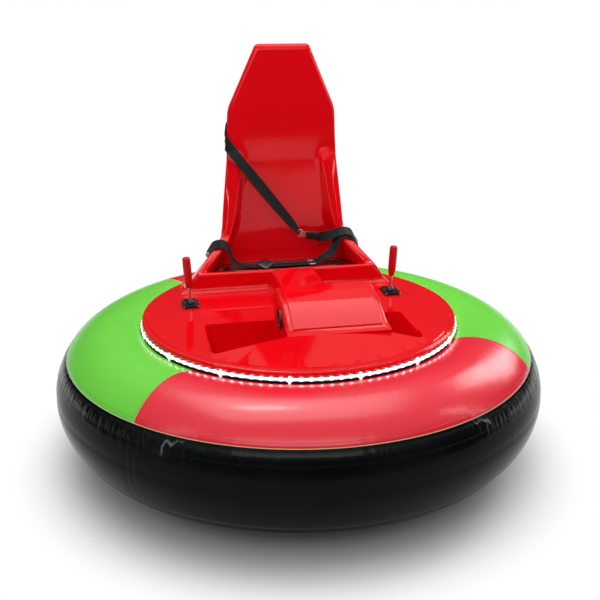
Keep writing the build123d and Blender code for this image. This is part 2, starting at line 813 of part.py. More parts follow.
with BuildPart() as shoulder_belt:
    with BuildSketch(Plane(origin=shoulder_start, x_dir=shoulder_run, z_dir=shoulder_run.cross(edge_up))):
        with Locations(((shoulder_run.length - tongue_fold - strap_width) / 2, 0)):
            Rectangle(shoulder_run.length - tongue_fold + strap_width, strap_width)
    extrude(amount=strap_thickness / 2, both=True)
    with BuildSketch(Plane(origin=edge_point + side_out * corner, x_dir=edge_up, z_dir=side_out)):
        Rectangle(6 * strap_width, 6 * strap_width)
    extrude(amount=2 * strap_width, mode=Mode.SUBTRACT)
    with BuildSketch(Plane(origin=edge_point + side_out * stand_off, x_dir=edge_up, z_dir=side_out)):
        with BuildLine():
            Polyline(
                (-half_height, -corner),
                (half_height, -corner),
                (side_rise + half_height, side_run.length + corner),
                (side_rise - half_height, side_run.length + corner),
                close=True,
            )
        make_face()
    extrude(amount=strap_thickness / 2, both=True)
    rear_out = rear_up.cross(Vector(1, 0, 0)).normalized()
    rear_start = edge_point + side_run + rear_out * stand_off
    with BuildSketch(Plane(origin=rear_start, x_dir=(1, 0, 0), z_dir=rear_out)):
        with BuildLine():
            Polyline(
                (-corner, half_height - side_rise),
                (-corner, -half_height - side_rise),
                (rear_run, -half_height - rear_rise),
                (rear_run, half_height - rear_rise),
                close=True,
            )
        make_face()
    extrude(amount=strap_thickness / 2, both=True)
shoulder_belt.part.label = "shoulder_belt"
export_step(shoulder_belt.part, "parts/shoulder_belt.step")

# Tongue, buckle and the short strap from the buckle to the wrap on the right rim
short_end = wrap_planes[1].from_local_coords(Vector(-wrap_inside - 3.6, -wrap_drop / 2, -wrap_drop / 2))
buckle_run = (short_end - tongue_start).normalized()
tongue_end = tongue_start + buckle_run * tongue_length
buckle_end = tongue_end + buckle_run * buckle_length
# Columns: name, start, end, width, thickness
belt_chain = (
    ("belt_tongue", tongue_start, tongue_end, strap_width - tongue_margin, tongue_thickness),
    ("belt_buckle", tongue_end, buckle_end, strap_width + buckle_margin, buckle_thickness),
    ("buckle_strap", buckle_end, short_end, strap_width, strap_thickness),
)
for name, start, end, width, thickness in belt_chain:
    with BuildPart() as belt_piece:
        with BuildSketch(strap_plane(start, end, Vector(0, -1, 0.2))):
            Rectangle((end - start).length - rest_gap, width)
        extrude(amount=thickness / 2, both=True)
    belt_piece.part.label = name
    export_step(belt_piece.part, f"parts/{name}.step")

# Chassis: square tube rails and cross members, posts to the deck and caster pads
post_size = 30
pad_thickness = 6
pad_size_x = 105
pad_size_y = 88
pad_spacing_x = 78
pad_spacing_y = 62
pad_hole = 8.5
beam_half_length = well_floor_outer - 15
# Columns: place along the car, width
cross_members = (
    (-caster_y, rail_size),
    (-75, post_size),
    (battery_y - 60, post_size),
    (battery_y + 60, post_size),
    (caster_y, rail_size),
)
# Columns: place along the car, top height
posts = (
    (well_floor_front + post_size, well_under - post_size),
    (-70, deck_under),
    (rail_half_length - 35, deck_under),
)
with BuildPart() as chassis_frame:
    with BuildSketch(Plane.XY.offset(rail_bottom)):
        for side in (-1, 1):
            with Locations((side * rail_spacing / 2, 0)):
                Rectangle(rail_size, 2 * rail_half_length)
        for y, width in cross_members:
            with Locations((0, y)):
                Rectangle(rail_spacing, width)
    extrude(amount=rail_size)
    for y, top in posts:
        with BuildSketch(Plane.XY.offset(rail_top)):
            with Locations((-rail_spacing / 2, y), (rail_spacing / 2, y)):
                Rectangle(post_size, post_size)
        extrude(amount=top - rail_top)
    with BuildSketch(Plane.XY.offset(well_under - post_size)):
        with Locations((0, posts[0][0])):
            Rectangle(2 * beam_half_length, post_size)
    extrude(amount=post_size)
    with BuildSketch(Plane.XY.offset(rail_bottom)):
        for y in (-caster_y, caster_y):
            with Locations((0, y)):
                Rectangle(pad_size_x, pad_size_y)
                with GridLocations(pad_spacing_x, pad_spacing_y, 2, 2):
                    Circle(pad_hole / 2, mode=Mode.SUBTRACT)
    extrude(amount=-pad_thickness)
chassis_frame.part.label = "chassis_frame"
export_step(chassis_frame.part, "parts/chassis_frame.step")

# Cradle under the tube: a rolled hoop with a sloping seat, on four arms from the rail ends
arm_size = 16
end_plate = 6
seat_rise = sqrt(tube_radius**2 - (ring_centre - hoop_ring) ** 2)
seat_slope = (ring_centre - hoop_ring) / seat_rise
seat_height = tube_height - seat_rise - rest_gap * sqrt(1 + seat_slope**2)
hoop_bottom = seat_height - hoop_width
arm_start_y = rail_half_length + end_plate / 2
arm_bearing = atan2(arm_start_y, rail_spacing / 2)
arm_height = hoop_bottom + arm_size / 2
arm_reach = hoop_ring - hoop_width / 3
with BuildPart() as tube_cradle:
    with BuildSketch(Plane.XZ):
        with BuildLine():
            Polyline(
                (hoop_ring - hoop_width / 2, hoop_bottom),
                (hoop_ring + hoop_width / 2, hoop_bottom),
                (hoop_ring + hoop_width / 2, seat_height - seat_slope * hoop_width / 2),
                (hoop_ring - hoop_width / 2, seat_height + seat_slope * hoop_width / 2),
                close=True,
            )
        make_face()
    revolve(axis=Axis.Z)
    for side_x in (-1, 1):
        for side_y in (-1, 1):
            arm_start = Vector(side_x * rail_spacing / 2, side_y * arm_start_y, rail_bottom + rail_size / 2)
            arm_end = Vector(
                side_x * arm_reach * cos(arm_bearing), side_y * arm_reach * sin(arm_bearing), arm_height
            )
            with BuildSketch(Plane(origin=arm_start, z_dir=arm_end - arm_start)):
                Rectangle(arm_size, arm_size)
            extrude(amount=(arm_end - arm_start).length)
            with BuildSketch(Plane.XY.offset(rail_bottom)):
                with Locations((side_x * rail_spacing / 2, side_y * (rail_half_length + end_plate / 2))):
                    Rectangle(rail_size, end_plate)
            extrude(amount=rail_size)
    with BuildSketch(Plane.XY.offset(rail_bottom)):
        Rectangle(rail_spacing + 2 * rail_size, 2 * rail_half_length)
    extrude(amount=rail_size, mode=Mode.SUBTRACT)
tube_cradle.part.label = "tube_cradle"
export_step(tube_cradle.part, "parts/tube_cradle.step")

# Battery on the two cross members behind the console
with BuildPart() as battery_block:
    with BuildSketch(Plane.XY.offset(rail_top)):
        with Locations((0, battery_y)):
            RectangleRounded(battery_length, battery_width, 6)
    extrude(amount=battery_height)
battery_block.part.label = "battery_block"
export_step(battery_block.part, "parts/battery_block.step")

# Drive units: bracket on the rail, gear motor, axle, wheel rim and tyre
bracket_half = 55
wheel_clearance = 20
axle_clearance = 3
axle_setback = 3
hub_setback = 4
web_lap = 2
bracket_x = drive_track / 2 - drive_wheel_width / 2 - wheel_clearance - bracket_thickness
bracket_bottom = axle_height - 48
wheel_axis = Axis((0, 0, axle_height), (1, 0, 0))
tyre_inner = axle_height - tyre_thickness
rim_outer = tyre_inner - pin_gap
rim_barrel = 10
hub_radius = 26
web_thickness = 8
spoke_hole = 20
spoke_count = 5
tyre_shoulder = 9
axle_inside = gearbox_length - 6
axle_end = drive_track / 2 + drive_wheel_width / 2 - axle_setback
rail_outside = rail_spacing / 2 + rail_size / 2
for name, side in lever_sides:
    with BuildPart() as drive_bracket:
        with BuildSketch(Plane.YZ.offset(side * bracket_x)):
            with Locations((0, (bracket_bottom + rail_top) / 2)):
                Rectangle(2 * bracket_half, rail_top - bracket_bottom)
            with Locations((0, axle_height)):
                Circle(axle_diameter / 2 + axle_clearance, mode=Mode.SUBTRACT)
        extrude(amount=side * bracket_thickness)
        with BuildSketch(Plane.YZ.offset(side * rail_outside)):
            with Locations((0, rail_top - bracket_thickness / 2)):
                Rectangle(2 * bracket_half, bracket_thickness)
        extrude(amount=side * (bracket_x - rail_outside))
    drive_bracket.part.label = f"drive_bracket_{name}"
    export_step(drive_bracket.part, f"parts/drive_bracket_{name}.step")
    with BuildPart() as gear_motor:
        with BuildSketch(Plane.YZ.offset(side * bracket_x)):
            with Locations((0, axle_height)):
                Circle(gearbox_diameter / 2)
        extrude(amount=-side * gearbox_length)
        with BuildSketch(Plane.YZ.offset(side * (bracket_x - gearbox_length))):
            with Locations((0, axle_height)):
                Circle(motor_diameter / 2)
        extrude(amount=-side * motor_length)
        with BuildSketch(Plane.YZ.offset(side * bracket_x)):
            with Locations((0, axle_height)):
                Circle(axle_diameter / 2 + pin_gap)
        extrude(amount=-side * (axle_inside + 2), mode=Mode.SUBTRACT)
    gear_motor.part.label = f"gear_motor_{name}"
    export_step(gear_motor.part, f"parts/gear_motor_{name}.step")
    with BuildPart() as drive_axle:
        with BuildSketch(Plane.YZ.offset(side * (bracket_x - axle_inside))):
            with Locations((0, axle_height)):
                Circle(axle_diameter / 2)
        extrude(amount=side * (axle_end - bracket_x + axle_inside))
    drive_axle.part.label = f"drive_axle_{name}"
    export_step(drive_axle.part, f"parts/drive_axle_{name}.step")
    with BuildPart() as wheel_rim:
        with BuildSketch(Plane.XZ):
            with Locations((side * drive_track / 2, axle_height + rim_outer - rim_barrel / 2)):
                Rectangle(drive_wheel_width, rim_barrel)
            with Locations((side * drive_track / 2, axle_height + (hub_radius + rim_outer - rim_barrel) / 2)):
                Rectangle(web_thickness, rim_outer - rim_barrel - hub_radius + 2 * web_lap)
            hub_middle = (hub_radius + axle_diameter / 2 + pin_gap) / 2
            with Locations((side * drive_track / 2, axle_height + hub_middle)):
                Rectangle(drive_wheel_width - 2 * hub_setback, hub_radius - axle_diameter / 2 - pin_gap)
        revolve(axis=wheel_axis)
        with BuildSketch(Plane.YZ.offset(side * drive_track / 2 - web_thickness)):
            with Locations((0, axle_height)):
                with PolarLocations((hub_radius + rim_outer - rim_barrel) / 2, spoke_count):
                    Circle(spoke_hole / 2)
        extrude(amount=2 * web_thickness, mode=Mode.SUBTRACT)
    wheel_rim.part.label = f"wheel_rim_{name}"
    export_step(wheel_rim.part, f"parts/wheel_rim_{name}.step")
    with BuildPart() as wheel_tyre:
        with BuildSketch(Plane.XZ):
            with Locations((side * drive_track / 2, 2 * axle_height - tyre_thickness / 2)):
                tyre_section = Rectangle(drive_wheel_width, tyre_thickness)
            fillet(tyre_section.vertices().group_by(Axis.Z)[-1], radius=tyre_shoulder)
        revolve(axis=wheel_axis)
    wheel_tyre.part.label = f"wheel_tyre_{name}"
    export_step(wheel_tyre.part, f"parts/wheel_tyre_{name}.step")

# Swivel casters: top plate with king pin, fork with axle, wheel
plate_thickness = 4
plate_top = rail_bottom - pad_thickness
plate_bottom = plate_top - plate_thickness
plate_margin = 5
bearing_height = 10
bearing_radius = 22
crown_top = plate_bottom - bearing_height
pin_bottom = crown_top - fork_plate - 12
fork_inside = caster_width / 2 + 5.5
crown_half = 26
leg_front_set = 6
leg_tip = 15
leg_drop = 13
axle_head = 5
tread_radius = 5
wheel_hub_radius = 13
hub_side_gap = 0.5
for name, side in (("front", -1), ("rear", 1)):
    swivel_y = side * caster_y
    axle_y = swivel_y + caster_trail
    with BuildPart() as caster_plate:
        with BuildSketch(Plane.XY.offset(plate_top)):
            with Locations((0, swivel_y)):
                RectangleRounded(pad_size_x - plate_margin, pad_size_y - plate_margin, plate_margin + 3)
                with GridLocations(pad_spacing_x, pad_spacing_y, 2, 2):
                    Circle(pad_hole / 2, mode=Mode.SUBTRACT)
        extrude(amount=-plate_thickness)
        with BuildSketch(Plane.XY.offset(plate_bottom)):
            with Locations((0, swivel_y)):
                Circle(caster_pin_diameter / 2)
        extrude(amount=pin_bottom - plate_bottom)
    caster_plate.part.label = f"caster_plate_{name}"
    export_step(caster_plate.part, f"parts/caster_plate_{name}.step")
    with BuildPart() as caster_fork:
        with BuildSketch(Plane.XY.offset(crown_top)):
            with Locations((0, swivel_y)):
                RectangleRounded(2 * (fork_inside + fork_plate), 2 * crown_half, 4)
        extrude(amount=-fork_plate)
        with BuildSketch(Plane.XY.offset(crown_top)):
            with Locations((0, swivel_y)):
                Circle(bearing_radius)
        extrude(amount=plate_bottom - rest_gap - crown_top)
        for leg in (-1, 1):
            with BuildSketch(Plane.YZ.offset(leg * fork_inside)):
                with BuildLine():
                    Polyline(
                        (swivel_y - crown_half + leg_front_set, crown_top),
                        (swivel_y + crown_half, crown_top),
                        (axle_y + leg_tip, caster_radius),
                        (axle_y + leg_tip, caster_radius - leg_drop),
                        (axle_y - leg_tip, caster_radius - leg_drop),
                        (axle_y - leg_tip, caster_radius),
                        close=True,
                    )
                make_face()
            extrude(amount=leg * fork_plate)
        with BuildSketch(Plane.YZ.offset(-fork_inside - fork_plate - axle_head)):
            with Locations((axle_y, caster_radius)):
                Circle(caster_axle_diameter / 2)
        extrude(amount=2 * (fork_inside + fork_plate + axle_head))
        with BuildSketch(Plane.XY.offset(plate_bottom)):
            with Locations((0, swivel_y)):
                Circle(caster_pin_diameter / 2 + pin_gap)
        extrude(amount=pin_bottom - plate_bottom - fork_plate, mode=Mode.SUBTRACT)
    caster_fork.part.label = f"caster_fork_{name}"
    export_step(caster_fork.part, f"parts/caster_fork_{name}.step")
    with BuildPart() as caster_wheel:
        with BuildSketch(Plane.YZ.offset(-caster_width / 2)):
            with Locations((axle_y, caster_radius)):
                Circle(caster_radius)
        extrude(amount=caster_width)
        rolling_edges = caster_wheel.edges().filter_by(GeomType.CIRCLE)
        fillet(rolling_edges, radius=tread_radius)
        with BuildSketch(Plane.YZ.offset(-fork_inside + hub_side_gap)):
            with Locations((axle_y, caster_radius)):
                Circle(wheel_hub_radius)
        extrude(amount=2 * (fork_inside - hub_side_gap))
        with BuildSketch(Plane.YZ.offset(-fork_inside)):
            with Locations((axle_y, caster_radius)):
                Circle(caster_axle_diameter / 2 + pin_gap)
        extrude(amount=2 * fork_inside, mode=Mode.SUBTRACT)
    caster_wheel.part.label = f"caster_wheel_{name}"
    export_step(caster_wheel.part, f"parts/caster_wheel_{name}.step")
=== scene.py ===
import bmesh
import bpy
import numpy as np
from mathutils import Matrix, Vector


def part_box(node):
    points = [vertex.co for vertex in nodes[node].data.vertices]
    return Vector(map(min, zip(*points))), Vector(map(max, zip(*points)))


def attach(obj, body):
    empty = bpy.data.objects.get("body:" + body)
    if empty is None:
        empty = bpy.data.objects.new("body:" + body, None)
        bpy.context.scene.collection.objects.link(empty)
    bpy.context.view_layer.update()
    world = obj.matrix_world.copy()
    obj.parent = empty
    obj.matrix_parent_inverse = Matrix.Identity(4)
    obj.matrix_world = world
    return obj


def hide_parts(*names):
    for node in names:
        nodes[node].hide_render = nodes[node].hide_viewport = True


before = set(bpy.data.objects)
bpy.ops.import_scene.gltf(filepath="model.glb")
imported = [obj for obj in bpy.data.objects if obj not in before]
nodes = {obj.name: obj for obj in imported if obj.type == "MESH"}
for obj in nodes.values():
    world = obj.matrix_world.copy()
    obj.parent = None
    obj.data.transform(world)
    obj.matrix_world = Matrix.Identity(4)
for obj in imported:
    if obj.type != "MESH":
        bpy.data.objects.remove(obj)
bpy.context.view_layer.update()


# Camera. The photograph is taken from the front, 11 degrees round to the car's right hand and from a
# standing eye's height, with a lens a little longer than normal. The car's axis is near the middle.
def placed(name, data):
    """New object that carries the data, put into the scene."""
    thing = bpy.data.objects.new(name, data)
    bpy.context.scene.collection.objects.link(thing)
    return thing


look_down, roll, car_turn, aim_aside = 19.12, 0.07, 11, 0.13
camera_data = bpy.data.cameras.new("camera")
camera_data.sensor_width = 36
camera_data.lens = 51
camera_data.clip_end = 60
camera = placed("camera", camera_data)
camera.location = (-0.604, -3.107, 1.702)
camera.rotation_euler = np.radians((90 - look_down, roll, -car_turn - aim_aside))
bpy.context.scene.camera = camera


# Steel chassis. Square tube rails, cross members and posts are welded up, then sprayed satin black. The
# paint is dusty on top, rubbed paler along the rails and pitted by grit from the floor.
def join(tree, node, links):
    """Sets a node's inputs: each takes a value or another node's output."""
    for key, value in links.items():
        if isinstance(value, bpy.types.NodeSocket):
            tree.links.new(value, node.inputs[key])
        else:
            node.inputs[key].default_value = value
    return node


def new_node(tree, kind, links=None, **settings):
    """New shader node with its settings made and its inputs joined."""
    node = tree.nodes.new("ShaderNode" + kind)
    for key, value in settings.items():
        setattr(node, key, value)
    return join(tree, node, links or {})


def new_material(name, colour, roughness, metallic=0.0, coat=0.0, specular=0.5):
    """Principled material with its plain numbers on the shader's own sockets; gives it, its tree and shader."""
    material = bpy.data.materials.new(name)
    material.use_nodes = True
    shader = material.node_tree.nodes["Principled BSDF"]
    join(material.node_tree, shader, {
        "Base Color": (*colour, 1), "Roughness": roughness, "Metallic": metallic, "Coat Weight": coat,
        "Coat Roughness": 0.04, "Specular IOR Level": specular,
    })
    return material, material.node_tree, shader


def maths(tree, operation, first, second=0.0, third=0.5, clamp=False):
    """Output of one sum on values or sockets."""
    terms = {0: first, 1: second, 2: third}
    return new_node(tree, "Math", terms, operation=operation, use_clamp=clamp).outputs[0]


def noise(tree, place, scale, detail):
    """Output of a noise texture."""
    return new_node(tree, "TexNoise", {"Vector": place, "Scale": scale, "Detail": detail}).outputs[0]


def ramp(tree, value, low, high):
    """Smooth step of a value from 0 at low to 1 at high."""
    reach = {"Value": value, "From Min": low, "From Max": high}
    return new_node(tree, "MapRange", reach, interpolation_type="SMOOTHSTEP").outputs["Result"]


def mixed(tree, factor, first, second):
    """Colour between two colours."""
    first, second = (side if isinstance(side, bpy.types.NodeSocket) else (*side, 1) for side in (first, second))
    sides = {"Factor": factor, "A": first, "B": second}
    return new_node(tree, "Mix", sides, data_type="RGBA").outputs["Result"]


def new_group(name, inputs, outputs):
    """Empty node group with number inputs and outputs, of which Normal is a direction; gives tree, inlet, outlet."""
    tree = bpy.data.node_groups.new(name, "ShaderNodeTree")
    for label, value in inputs.items():
        tree.interface.new_socket(label, in_out="INPUT", socket_type="NodeSocketFloat").default_value = value
    for label in outputs:
        kind = "NodeSocketVector" if label == "Normal" else "NodeSocketFloat"
        tree.interface.new_socket(label, in_out="OUTPUT", socket_type=kind)
    return tree, tree.nodes.new("NodeGroupInput"), tree.nodes.new("NodeGroupOutput")


def used_group(tree, group, **values):
    """Node that brings a node group into a tree with the given values."""
    return new_node(tree, "Group", values, node_tree=group)


wear, inlet, outlet = new_group(
    "wear", {"Size": 0.1, "Grain": 0.002, "Depth": 0.0001, "Scratches": 0.3}, ("Patches", "Marks", "Normal")
)
place = new_node(wear, "TexCoord").outputs["Object"]
patches = noise(wear, place, maths(wear, "DIVIDE", 1.0, inlet.outputs["Size"]), 5.0)
grain = noise(wear, place, maths(wear, "DIVIDE", 1.0, inlet.outputs["Grain"]), 2.0)
stretch = new_node(wear, "Mapping", {"Vector": place, "Rotation": (0.4, 0.3, 0.7), "Scale": (90, 6, 60)})
streaks = noise(wear, stretch.outputs[0], 1.0, 3.0)
marks = maths(wear, "MULTIPLY", ramp(wear, streaks, 0.66, 0.76), inlet.outputs["Scratches"])
bump = new_node(wear, "Bump", {"Height": grain, "Distance": inlet.outputs["Depth"]})
join(wear, outlet, {"Patches": ramp(wear, patches, 0.35, 0.68), "Marks": marks, "Normal": bump.outputs[0]})

dust, inlet, outlet = new_group("dust", {"Amount": 0.5, "Reach": 0.08}, ("Mask",))
facing = new_node(dust, "SeparateXYZ", {0: new_node(dust, "NewGeometry").outputs["Normal"]})
place = new_node(dust, "TexCoord").outputs["Object"]
cloud = noise(dust, place, maths(dust, "DIVIDE", 1.0, inlet.outputs["Reach"]), 8.0)
lying = maths(dust, "MULTIPLY", ramp(dust, facing.outputs["Z"], 0.2, 0.95), ramp(dust, cloud, 0.4, 0.7))
join(dust, outlet, {"Mask": maths(dust, "MULTIPLY", lying, inlet.outputs["Amount"])})


def worn_material(
    name, colour, second, roughness, rougher, size, grain, depth, scratches=0.3, dusty=0.0, metallic=0.0, specular=0.5
):
    """Material that drifts between two colours and two roughnesses, with grain, scratches and lying dust."""
    material, tree, shader = new_material(name, colour, roughness, metallic, specular=specular)
    worn = used_group(tree, wear, Size=size, Grain=grain, Depth=depth, Scratches=scratches)
    tint = mixed(tree, worn.outputs["Patches"], colour, second)
    rough = maths(tree, "MULTIPLY_ADD", worn.outputs["Patches"], rougher - roughness, roughness)
    rough = maths(tree, "ADD", rough, maths(tree, "MULTIPLY", worn.outputs["Marks"], 0.35), clamp=True)
    if dusty:
        lying = used_group(tree, dust, Amount=dusty).outputs["Mask"]
        tint = mixed(tree, lying, tint, (0.42, 0.40, 0.37))
        rough = maths(tree, "ADD", rough, maths(tree, "MULTIPLY", lying, 0.5), clamp=True)
    join(tree, shader, {"Base Color": tint, "Roughness": rough, "Normal": worn.outputs["Normal"]})
    return material


def finish_nodes(material, *starts):
    """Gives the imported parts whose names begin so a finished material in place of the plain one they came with."""
    for name in nodes:
        if name.startswith(starts):
            nodes[name].data.materials.clear()
            nodes[name].data.materials.append(material)


black_paint = worn_material(
    "black frame paint", (0.018, 0.018, 0.02), (0.03, 0.03, 0.032), 0.38, 0.55, 0.12, 0.003, 0.00012, 0.6, 0.45
)
finish_nodes(black_paint, "chassis_frame", "tube_cradle", "drive_bracket")
sides = (("left", -1), ("right", 1))


def mesh_piece(name, points, faces, material, smooth=0.7, body="base"):
    """Mesh object from vertices and rows of equal-sided faces, shaded smooth up to an edge angle."""
    mesh = bpy.data.meshes.new(name)
    mesh.from_pydata(points.reshape(-1, 3).tolist(), [], [face for block in faces for face in block.tolist()])
    mesh.shade_smooth()
    mesh.set_sharp_from_angle(angle=smooth)
    mesh.materials.append(material)
    piece = placed(name, mesh)
    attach(piece, body)
    return piece


def grid_faces(rows, columns, close_rows=False, close_columns=False):
    """Quads of a grid of points; a closed way joins its last line to its first."""
    index = np.arange(rows * columns).reshape(rows, columns)
    index = np.concatenate([index, index[:1]]) if close_rows else index
    index = np.concatenate([index, index[:, :1]], 1) if close_columns else index
    return np.stack([index[:-1, :-1], index[1:, :-1], index[1:, 1:], index[:-1, 1:]], -1).reshape(-1, 4)


def repeated(faces, points_each, count):
    """The faces of one piece, given again for each of many equal pieces."""
    return (faces[None] + points_each * np.arange(count)[:, None, None]).reshape(-1, 4)


def welded(piece, gap=0.00002):
    """Merges the points that lie on each other and turns every face outwards."""
    shape = bmesh.new()
    shape.from_mesh(piece.data)
    bmesh.ops.remove_doubles(shape, verts=shape.verts, dist=gap)
    bmesh.ops.recalc_face_normals(shape, faces=shape.faces)
    shape.to_mesh(piece.data)
    shape.free()
    return piece


def unit(vectors):
    """Vectors made one long."""
    return vectors / np.maximum(np.linalg.norm(vectors, axis=-1, keepdims=True), 1e-9)


def turned(name, foot, axis, profile, material, points_round=40, smooth=0.8, body="base"):
    """Turned piece: rows of radius and height in millimetres turned once about an axis through a foot point."""
    axis = unit(np.array(axis, float))
    side = unit(np.cross(axis, (0.0, 1.0, 0.0)))
    other = np.cross(axis, side)
    profile = np.array(profile, float) / 1000
    turn = np.linspace(0, 2 * np.pi, points_round, endpoint=False)[:, None, None]
    ring = np.cos(turn) * side + np.sin(turn) * other
    points = np.array(foot) / 1000 + ring * profile[None, :, :1] + axis * profile[None, :, 1:]
    faces = grid_faces(points_round, len(profile), close_rows=True)
    return welded(mesh_piece(name, points, [faces], material, smooth, body))


def bead_lines(starts, stops, radius, ripple):
    """Weld beads: a circle of 8 points carried along each straight line, its radius swelling and shrinking with the
    cosine of the distance run, once in every ripple, as the stacked pools of a weld do."""
    starts, stops = np.array(starts, float) / 1000, np.array(stops, float) / 1000
    run = np.linspace(0, 1, 41)[None, :, None, None]
    along = unit(stops - starts)
    side = unit(np.cross(along, (0.3, 0.5, 0.8)))
    other = np.cross(side, along)
    turn = np.linspace(0, 2 * np.pi, 8, endpoint=False)[None, None, :, None]
    length = np.linalg.norm(stops - starts, axis=1)[:, None, None, None]
    swell = radius * (1 + 0.16 * np.cos(2 * np.pi * run * np.round(length / ripple))) * (1 - (2 * run - 1) ** 12)
    ring = np.cos(turn) * side[:, None, None] + np.sin(turn) * other[:, None, None]
    centre = (starts[:, None] + (stops - starts)[:, None] * run[:, :, 0])[:, :, None]
    return centre + ring * swell


# Upright beads run in the corners between rails and cross members, which are given by middle and half width,
# and short beads cross the rails' tops before and behind each post
rail_middle, rail_face, rail_low, rail_high = 220, 200, 165, 205
cross_members = ((-330, 20), (-75, 15), (105, 15), (225, 15), (330, 20))
post_rows, post_half, bead_half = (-300, -70, 345), 15, 14
starts, stops = [], []
for y, half in cross_members:
    for x in (-rail_face, rail_face):
        for corner in (y - half, y + half):
            starts.append((x, corner, rail_low + 2))
            stops.append((x, corner, rail_high - 2))
for y in post_rows:
    for x in (-rail_middle, rail_middle):
        for corner in (y - post_half, y + post_half):
            starts.append((x - bead_half, corner, rail_high))
            stops.append((x + bead_half, corner, rail_high))
beads = bead_lines(starts, stops, 0.0032, 0.0045)
bead_faces = repeated(grid_faces(41, 8, close_columns=True), 41 * 8, len(beads))
welded(mesh_piece("frame_weld_beads", beads, [bead_faces], black_paint, 1.2))


# Battery. One lead-acid block in a moulded black case with a fine leather grain, dusty on its lid. Two lead posts
# with hex nuts stand up from the lid, and six cell caps in a row are screwed into it.
battery_case = worn_material(
    "battery case", (0.014, 0.014, 0.016), (0.022, 0.022, 0.024), 0.45, 0.6, 0.06, 0.0012, 0.00015, 0.2, 0.5
)
finish_nodes(battery_case, "battery_block")
bright_zinc = worn_material(
    "bright zinc", (0.58, 0.58, 0.6), (0.46, 0.46, 0.47), 0.24, 0.4, 0.02, 0.0008, 0.00003, 0.5, 0.15, 1.0
)
lead = worn_material("lead", (0.20, 0.20, 0.21), (0.13, 0.13, 0.135), 0.4, 0.6, 0.01, 0.0008, 0.0001, 0.4, 0.2, 0.9)


def hex_piece(name, foot, axis, profile, body="base"):
    """Plated hex nut or bolt head: its profile turned in six flats."""
    return turned(name, foot, axis, profile, bright_zinc, 6, 0.4, body)


low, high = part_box("battery_block")
lid_middle, lid_top = (low[1] + high[1]) * 500, high[2] * 1000
for side, sign in sides:
    post = (sign * 120, lid_middle - 45, lid_top)
    turned(f"battery_post_{side}", post, (0, 0, 1),
           ((16, -2), (16, 2.5), (14.5, 4), (9.2, 4.4), (8.4, 17), (7.6, 18), (0, 18)), lead, 28)
    hex_piece(f"battery_post_nut_{side}", post, (0, 0, 1),
              ((0, 17), (6.2, 17.2), (7.2, 18), (7.2, 23), (6.2, 24), (0, 24)))
for number, x in enumerate((-100, -60, -20, 20, 60, 100)):
    turned(f"battery_cell_cap_{number}", (x, lid_middle + 40, lid_top), (0, 0, 1),
           ((12, -1), (12, 2), (11, 3), (4.5, 3.1), (3.8, 2.2), (0, 2.2)), battery_case, 24)


# Drive units. Each is a cast gear motor with turned cooling fins, bolted to a steel bracket, and a turned axle with
# a hub nut. It carries a cast rim and a solid rubber tyre, whose tread is moulded.
grey_casting = worn_material(
    "grey motor casting", (0.16, 0.165, 0.17), (0.11, 0.112, 0.118), 0.42, 0.6, 0.05, 0.0016, 0.0002, 0.3, 0.3, 0.55
)
tyre_rubber = worn_material(
    "tyre rubber", (0.018, 0.018, 0.018), (0.034, 0.033, 0.031), 0.62, 0.85, 0.03, 0.0012, 0.0002, 0.2, 0.35
)
finish_nodes(grey_casting, "gear_motor", "wheel_rim")
finish_nodes(bright_zinc, "drive_axle")

# Tyre: a rounded section turned about the axle. Its crown sinks by the tread's depth between 36 slanted lugs
# and along a middle groove, so that the lugs stand out from the groove's floor.
wheel_x, axle_high, bracket_x, bolt_circle = 340, 105, 284, 43
half_wide, shoulder_round, bead_radius = 28, 9, 78
lugs, tread_depth = 36, 4.0
lug_steps = np.array([0.0, 0.04, 0.36, 0.68, 0.72, 0.86])
lug_deep = np.array([1, 0, 0, 0, 1, 1.0])
tread_turn = ((np.arange(lugs)[:, None] + lug_steps) * 2 * np.pi / lugs).ravel()[:, None]
shoulder = np.linspace(0, np.pi / 2, 5)
flank, crown = half_wide - shoulder_round, axle_high - shoulder_round
across = np.concatenate([[-half_wide], -flank - shoulder_round * np.cos(shoulder), [-14, -9, -4, -2.8, 2.8, 4, 9, 14],
                         flank + shoulder_round * np.sin(shoulder), [half_wide]])
reach = np.concatenate([[bead_radius], crown + shoulder_round * np.sin(shoulder), np.full(8, axle_high),
                        crown + shoulder_round * np.cos(shoulder), [bead_radius]])
sunk = np.concatenate([np.zeros(3), np.ones(14), np.zeros(3)])
middle_groove = np.abs(across) < 3
radius = (reach - tread_depth * np.maximum(np.tile(lug_deep, lugs)[:, None] * sunk, middle_groove)) / 1000
slant = tread_turn + 0.0045 * np.abs(across)
tyre_faces = grid_faces(*slant.shape, close_rows=True, close_columns=True)

# Cooling fins run round the motor, whose end is closed by a domed cover
fins = [(0, 238), (42.6, 238)]
for x in range(232, 132, -8):
    fins += [(42.8, x), (46.2, x - 0.6), (46.2, x - 2.4), (42.8, x - 3)]
fins += [(42.8, 122), (41, 118), (34, 114), (12, 111.5), (9, 108), (0, 107.5)]


def head(radius, low, high, bevel=1.0, drop=0.8):
    """Profile of a hex head from its seat to its bevelled top."""
    return (0, low), (radius, low), (radius, high - drop), (radius - bevel, high), (0, high)


